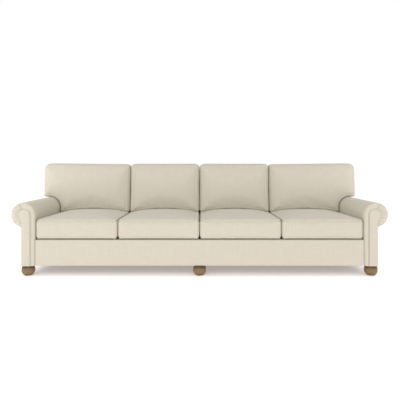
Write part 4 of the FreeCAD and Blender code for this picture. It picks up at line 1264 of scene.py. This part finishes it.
low, high = corners_of("back_side_panels")
foot, lean = arm_high.z - FOOT_LAP, (high.z - low.z) * BACK_SLOPE
side_corners = [(low.y, foot), (high.y, foot), (high.y, high.z), (low.y + lean, high.z)]
back_sides = join("back_sides", [
    padded_panel(
        f"back_side_{word}", side_corners, facing("X", side * (high.x - SHEET_DEPTH), side),
        radii=0.003, crown=0.001, spacing=0.02, step=0.012,
    )
    for word, side in SIDES
])
upholster(back_sides, stands_for=("back_side_panels",), fill=0.95)

low, high = corners_of("seat_deck")
deck = padded_panel(
    "sprung_deck", rectangle(low.x, low.y, high.x, high.y), facing("Z", low.z),
    radii=0.006, depth=high.z - low.z, edge=0.006, spacing=0.04, step=0.025,
)
dress(deck, "frame", "deck_cloth", deck_cloth, ("seat_deck",), fill=0.8)
print("back and deck made")

# %% [markdown]
# Under the frame a black dust cloth is stretched from rail to rail and stapled. It hangs a few
# millimetres low between the rails.

# %% Dust cloth
CLOTH_WALL = 0.0008
CLOTH_SAG = 0.003


def stretched_cloth(name, node, across=48, deep=16):
    """A cloth over a node's box that sags a little between the rails."""
    low, high = corners_of(node)
    points = []
    for row in range(deep + 1):
        for column in range(across + 1):
            u, v = column / across, row / deep
            sag = CLOTH_SAG * math.sin(math.pi * v) * abs(math.sin(len(SEATS) * math.pi * u)) ** 0.5
            points.append((low.x + u * (high.x - low.x), low.y + v * (high.y - low.y), low.z - sag))
    faces = [(a, d, c, b) for a, b, c, d in band_faces(deep + 1, across + 1, closed=False)]
    piece = cloth_piece(name, points, faces, [point[:2] for point in points])
    thicken(piece, CLOTH_WALL)
    return piece


dust = stretched_cloth("dust_cloth_under", "dust_cover")
dress(dust, "frame", "dust_cloth", dust_cloth, ("dust_cover",))
print("dust cloth", len(dust.data.vertices), "points")

# %% [markdown]
# Stitches, zip teeth and staples repeat along a line, so one small node tree lays them: it walks a
# line at an even pitch, sets a block or a bead at each step and turns it along the line. Its sizes
# are inputs, and the result is turned into a plain mesh.

# %% Rows laid by Geometry Nodes
ROW_INPUTS = (("Pitch", 0.006), ("Length", 0.004), ("Width", 0.001), ("Height", 0.001))


def row_tree(name, unit):
    """A tree that lays a unit, a bead or a block, at an even pitch along a line."""
    tree = bpy.data.node_groups.new(name, "GeometryNodeTree")
    tree.interface.new_socket("Line", in_out="INPUT", socket_type="NodeSocketGeometry")
    for label, value in ROW_INPUTS:
        socket = tree.interface.new_socket(label, in_out="INPUT", socket_type="NodeSocketFloat")
        socket.default_value = value
    tree.interface.new_socket("Finish", in_out="INPUT", socket_type="NodeSocketMaterial")
    tree.interface.new_socket("Row", in_out="OUTPUT", socket_type="NodeSocketGeometry")
    shape = tree.nodes.new("GeometryNodeMeshUVSphere" if unit == "bead" else "GeometryNodeMeshCube")
    if unit == "bead":
        set_values(shape, {"Segments": 6, "Rings": 4, "Radius": 0.5})
    inside, out, curve, walk, along, turn, sizes, lay, plain, finish = (tree.nodes.new(kind) for kind in (
        "NodeGroupInput", "NodeGroupOutput", "GeometryNodeMeshToCurve", "GeometryNodeResampleCurve",
        "GeometryNodeInputTangent", "FunctionNodeAlignRotationToVector", "ShaderNodeCombineXYZ",
        "GeometryNodeInstanceOnPoints", "GeometryNodeRealizeInstances", "GeometryNodeSetMaterial",
    ))
    walk.mode = "LENGTH"
    turn.axis = "X"
    for source, label, target, socket in (
        (inside, "Line", curve, "Mesh"), (curve, "Curve", walk, "Curve"), (inside, "Pitch", walk, "Length"),
        (along, "Tangent", turn, "Vector"), (inside, "Length", sizes, "X"), (inside, "Width", sizes, "Y"),
        (inside, "Height", sizes, "Z"), (walk, "Curve", lay, "Points"), (shape, "Mesh", lay, "Instance"),
        (turn, "Rotation", lay, "Rotation"), (sizes, "Vector", lay, "Scale"),
        (lay, "Instances", plain, "Geometry"), (plain, "Geometry", finish, "Geometry"),
        (inside, "Finish", finish, "Material"), (finish, "Geometry", out, "Row"),
    ):
        wire(tree, source.outputs[label], target.inputs[socket])
    return tree


ROW_TREES = {unit: row_tree(f"{unit}_row", unit) for unit in ("bead", "block")}


def lay_row(name, lines, unit, sizes, material):
    """One mesh of a row along each line; a line is its points and whether it closes."""
    points, edges = [], []
    for line, closed in lines:
        start = len(points)
        points += [tuple(map(float, point)) for point in line]
        edges += [(n, n + 1) for n in range(start, len(points) - 1)]
        if closed:
            edges.append((len(points) - 1, start))
    mesh = bpy.data.meshes.new(name)
    mesh.from_pydata(points, edges, [])
    row = new_object(name, mesh)
    modifier = row.modifiers.new("row", "NODES")
    modifier.node_group = ROW_TREES[unit]
    values = {**sizes, "Finish": material}
    for socket in ROW_TREES[unit].interface.items_tree:
        if socket.in_out == "INPUT" and socket.name in values:
            modifier[socket.identifier] = values[socket.name]
    bake_modifiers(row)
    if unit == "bead":
        row.data.shade_smooth()
    else:
        row.data.shade_flat()
    return row


print("row trees", list(ROW_TREES))

# %% [markdown]
# The topstitching follows a ring of each cushion's own mesh, lifted off it by half a thread.

# %% Topstitching
STITCH = {"Pitch": 0.0062, "Length": 0.0046, "Width": 0.0012, "Height": 0.0012}
STITCH_LIFT = 0.0003


def line_on(piece, numbers, lift):
    """A ring of a piece's points, lifted along their normals."""
    line = []
    for number in numbers:
        vertex = piece.data.vertices[number]
        line.append(vertex.co + vertex.normal * lift)
    return line


def stitch(name, piece, body, numbers):
    rows = [(line_on(piece, numbers, STITCH_LIFT), True)]
    row = lay_row(name, rows, "bead", STITCH, thread)
    dress(row, body, "upholstery_fabric", thread)
    return row


for number in SEATS:
    numbers = seat_rings[seat_topstitch]
    stitch(f"seat_stitches_{number}", seat_pieces[number], f"seat_cushion_{number}", numbers)
for number in SEATS:
    numbers = back_rings[back_kind(number)][back_front_seam + 1]
    row = stitch(f"back_stitches_{number}", back_pieces[number], f"back_cushion_{number}", numbers)
print("stitches on a back cushion", len(row.data.polygons), "faces")

# %% [markdown]
# Each cover closes with a zip: at the rear of a seat cushion and underneath a back cushion. A zip
# is a woven tape, a row of teeth along its middle and a slider with a tab.

# %% Zips
ZIP_TEETH = {"Pitch": 0.0032, "Length": 0.0018, "Width": 0.0016, "Height": 0.0054}
TAPE_HALF = 0.012
TAPE_LIFT = 0.0006
TEETH_LIFT = 0.0010
TAPE_WALL = 0.0008
ZIP_HALF = 0.24
ZIP_LEVEL = 0.03
ZIP_NEAR = 0.045
PULL_LIFT = 0.0014
SLIDER = (0.011, 0.009, 0.003)
TAB = (0.020, 0.005, 0.0012)
TAB_REACH = 0.012
TAB_LIFT = 0.0012
SLIDER_ROUND = 0.0008
TAB_ROUND = 0.0004


def ribbon(name, line, across, thickness):
    """A flat tape along a line, with its width across it."""
    points, texture = [], []
    for place, length in zip(line, running_lengths(line)):
        points += [place - across * TAPE_HALF, place + across * TAPE_HALF]
        texture += [(length, 0), (length, 2 * TAPE_HALF)]
    piece = cloth_piece(name, points, band_faces(len(line), 2, closed=False), texture)
    thicken(piece, thickness, 0)
    return piece


def small_block(name, centre, sizes, rounding):
    """A block with rounded edges, for the slider and its tab."""
    work = bmesh.new()
    bmesh.ops.create_cube(work, size=1)
    for vertex in work.verts:
        vertex.co = Vector(centre) + Vector([c * size for c, size in zip(vertex.co, sizes)])
    bmesh.ops.bevel(work, geom=work.edges[:], offset=rounding, segments=2, affect="EDGES")
    return object_from(work, name)


def zip_line(piece, numbers, outwards):
    """The part of a ring that lies furthest along a direction, within the zip's length."""
    places = [piece.data.vertices[n].co.copy() for n in numbers]
    furthest = max(place.dot(outwards) for place in places)
    level = [place.x for place in places if place.dot(outwards) > furthest - ZIP_LEVEL]
    middle = sum(level) / len(level)
    near_by = [place for place in places if place.dot(outwards) > furthest - ZIP_NEAR]
    return sorted((p for p in near_by if abs(p.x - middle) < ZIP_HALF), key=lambda place: place.x)


def add_zip(name, piece, body, numbers, outwards, across):
    """A tape, its teeth and a pull, where a cover's ring runs furthest along a direction."""
    def across_sizes(length, wide, thin):
        return (length, wide, thin) if across.y else (length, thin, wide)

    line = zip_line(piece, numbers, outwards)
    tape = ribbon(f"{name}_tape", [place + outwards * TAPE_LIFT for place in line], across, TAPE_WALL)
    dress(tape, body, "upholstery_fabric", zip_tape)
    sizes = dict(ZIP_TEETH)
    if across.y:
        sizes["Width"], sizes["Height"] = sizes["Height"], sizes["Width"]
    teeth_line = [place + outwards * TEETH_LIFT for place in line]
    teeth = lay_row(f"{name}_teeth", [(teeth_line, False)], "block", sizes, brass)
    dress(teeth, body, "zinc_steel", brass)
    start = line[2] + outwards * PULL_LIFT
    slider = small_block(f"{name}_slider", start, across_sizes(*SLIDER), SLIDER_ROUND)
    tab_place = start + Vector((TAB_REACH, 0, 0)) + outwards * TAB_LIFT
    tab = small_block(f"{name}_tab", tab_place, across_sizes(*TAB), TAB_ROUND)
    pull = join(f"{name}_pull", [slider, tab])
    dress(pull, body, "zinc_steel", brass)


UP, REARWARDS = Vector((0, 0, 1)), Vector((0, 1, 0))
seat_middle_ring = seat_rings[(seat_bottom_seam + seat_top_seam) // 2]
for number in SEATS:
    body = f"seat_cushion_{number}"
    add_zip(f"seat_zip_{number}", seat_pieces[number], body, seat_middle_ring, REARWARDS, UP)
for number in SEATS:
    ring_numbers = back_rings[back_kind(number)][(back_rear_seam + back_front_seam) // 2 - 1]
    body = f"back_cushion_{number}"
    add_zip(f"back_zip_{number}", back_pieces[number], body, ring_numbers, -UP, REARWARDS)
print("zips made")

# %% [markdown]
# Staples hold the dust cloth to the rails, and the outside back is pieced from three widths of
# cloth, with a row of stitches on each side of both seams.

# %% Staples and back seams
STAPLE = {"Pitch": 0.045, "Length": 0.011, "Width": 0.0014, "Height": 0.0012}
STAPLE_INSET = 0.012
STAPLE_LIFT = 0.0004
SEAM_RADIUS = 0.0012
SEAM_END = 0.006
SEAM_POINTS = 30
STITCH_OFFSET = 0.006
SEAM_STITCH_LIFT = 0.0002

low, high = corners_of("dust_cover")
inset = Vector((STAPLE_INSET, STAPLE_INSET, 0))
low, high = low + inset, high - inset
staple_z = low.z - CLOTH_WALL - STAPLE_LIFT
staple_line = [(x, y, staple_z) for x, y in rectangle(low.x, low.y, high.x, high.y)]
staples = lay_row("dust_cloth_staples", [(staple_line, True)], "block", STAPLE, zinc_steel)
dress(staples, "frame", "zinc_steel", zinc_steel)

low, high = corners_of("outside_back_panel")
levels = np.linspace(low.z + SEAM_END, high.z - SEAM_END, SEAM_POINTS)
seam_tubes, seam_rows = [], []
for side in (-1, 1):
    x = side * STEM_OUTER / 3
    seam = [(x, outside_back_depth(x, z), z) for z in levels]
    seam_tubes.append(tube(f"back_seam_{side}", seam, SEAM_RADIUS, sides=8))
    for offset in (-STITCH_OFFSET, STITCH_OFFSET):
        seam_rows.append(([(x + offset, y + SEAM_STITCH_LIFT, z) for x, y, z in seam], False))
back_seams = join("outside_back_seams", seam_tubes)
upholster(back_seams)
back_stitches = lay_row("outside_back_stitches", seam_rows, "bead", STITCH, thread)
dress(back_stitches, "frame", "upholstery_fabric", thread)
print("staples", len(staples.data.polygons) // 6)

# %% [markdown]
# The floor is plain and pale. A broad soft light stands in front, over the camera and a little to
# the left, so the front faces are lighter than the seats, and the white room fills the rest. The
# floor glows a little, more so behind the sofa, which keeps its shadow light and its far end white.

# %% Floor and light
FLOOR_REACH = 30
FLOOR_GLOW = (0.372, 0.328, 0.302, 1)
GLOW_START = 0.5
GLOW_REACH = 1.5
FAR_GLOW = 0.5
ROOM_LIGHT = (1, 0.975, 0.952, 1)
ROOM_STRENGTH = 0.66
WHITE = (1, 1, 1, 1)

floor_mesh = bpy.data.meshes.new("floor")
floor_corners = rectangle(-FLOOR_REACH, -FLOOR_REACH, FLOOR_REACH, FLOOR_REACH)
floor_mesh.from_pydata([(x, y, 0) for x, y in floor_corners], [], [(0, 1, 2, 3)])
floor = new_object("floor", floor_mesh)
floor_paint, floor_tree, floor_shader = new_material("pale_floor")
set_values(floor_shader, {"Base Color": WHITE, "Roughness": 0.9, "Emission Color": FLOOR_GLOW})
floor_place = floor_tree.nodes.new("ShaderNodeTexCoord").outputs["Object"]
calc = partial(maths, floor_tree)
behind = calc("SUBTRACT", axes_of(floor_tree, floor_place)["Y"], GLOW_START)
glow = calc("MULTIPLY", calc("DIVIDE", behind, GLOW_REACH, clamp=True), FAR_GLOW)
wire(floor_tree, calc("ADD", glow, 1.0), floor_shader.inputs["Emission Strength"])
floor_mesh.materials.append(floor_paint)

world = bpy.data.worlds.new("white_room")
world.use_nodes = True
room = world.node_tree
lit = room.nodes["Background"]
set_values(lit, {"Color": ROOM_LIGHT, "Strength": ROOM_STRENGTH})
seen = room.nodes.new("ShaderNodeBackground")
set_values(seen, {"Color": WHITE})
ray = room.nodes.new("ShaderNodeLightPath")
either = room.nodes.new("ShaderNodeMixShader")
wire(room, ray.outputs["Is Camera Ray"], either.inputs["Fac"])
wire(room, lit.outputs["Background"], either.inputs[1])
wire(room, seen.outputs["Background"], either.inputs[2])
wire(room, either.outputs["Shader"], room.nodes["World Output"].inputs["Surface"])
bpy.context.scene.world = world
bpy.context.scene.view_settings.view_transform = "Standard"


def soft_light(name, place, target, size, watts, colour=(1, 1, 1)):
    data = bpy.data.lights.new(name, "AREA")
    data.shape = "RECTANGLE"
    data.size, data.size_y = size
    data.energy = watts
    data.color = colour
    lamp = bpy.data.objects.new(name, data)
    lamp.location = place
    lamp.rotation_euler = (Vector(target) - Vector(place)).to_track_quat("-Z", "Y").to_euler()
    bpy.context.scene.collection.objects.link(lamp)


soft_light("front_light", (-1.0, -5.8, 3.4), (0, 0, 0.4), (6.0, 3.0), 142, (0.91, 0.975, 1.0))
soft_light("left_fill", (-2.3, -0.55, 1.1), (-1.2, 0.1, 0.7), (0.8, 0.8), 4.6)
soft_light("right_fill", (2.3, -0.55, 1.1), (1.2, 0.1, 0.7), (0.8, 0.8), 3.4)
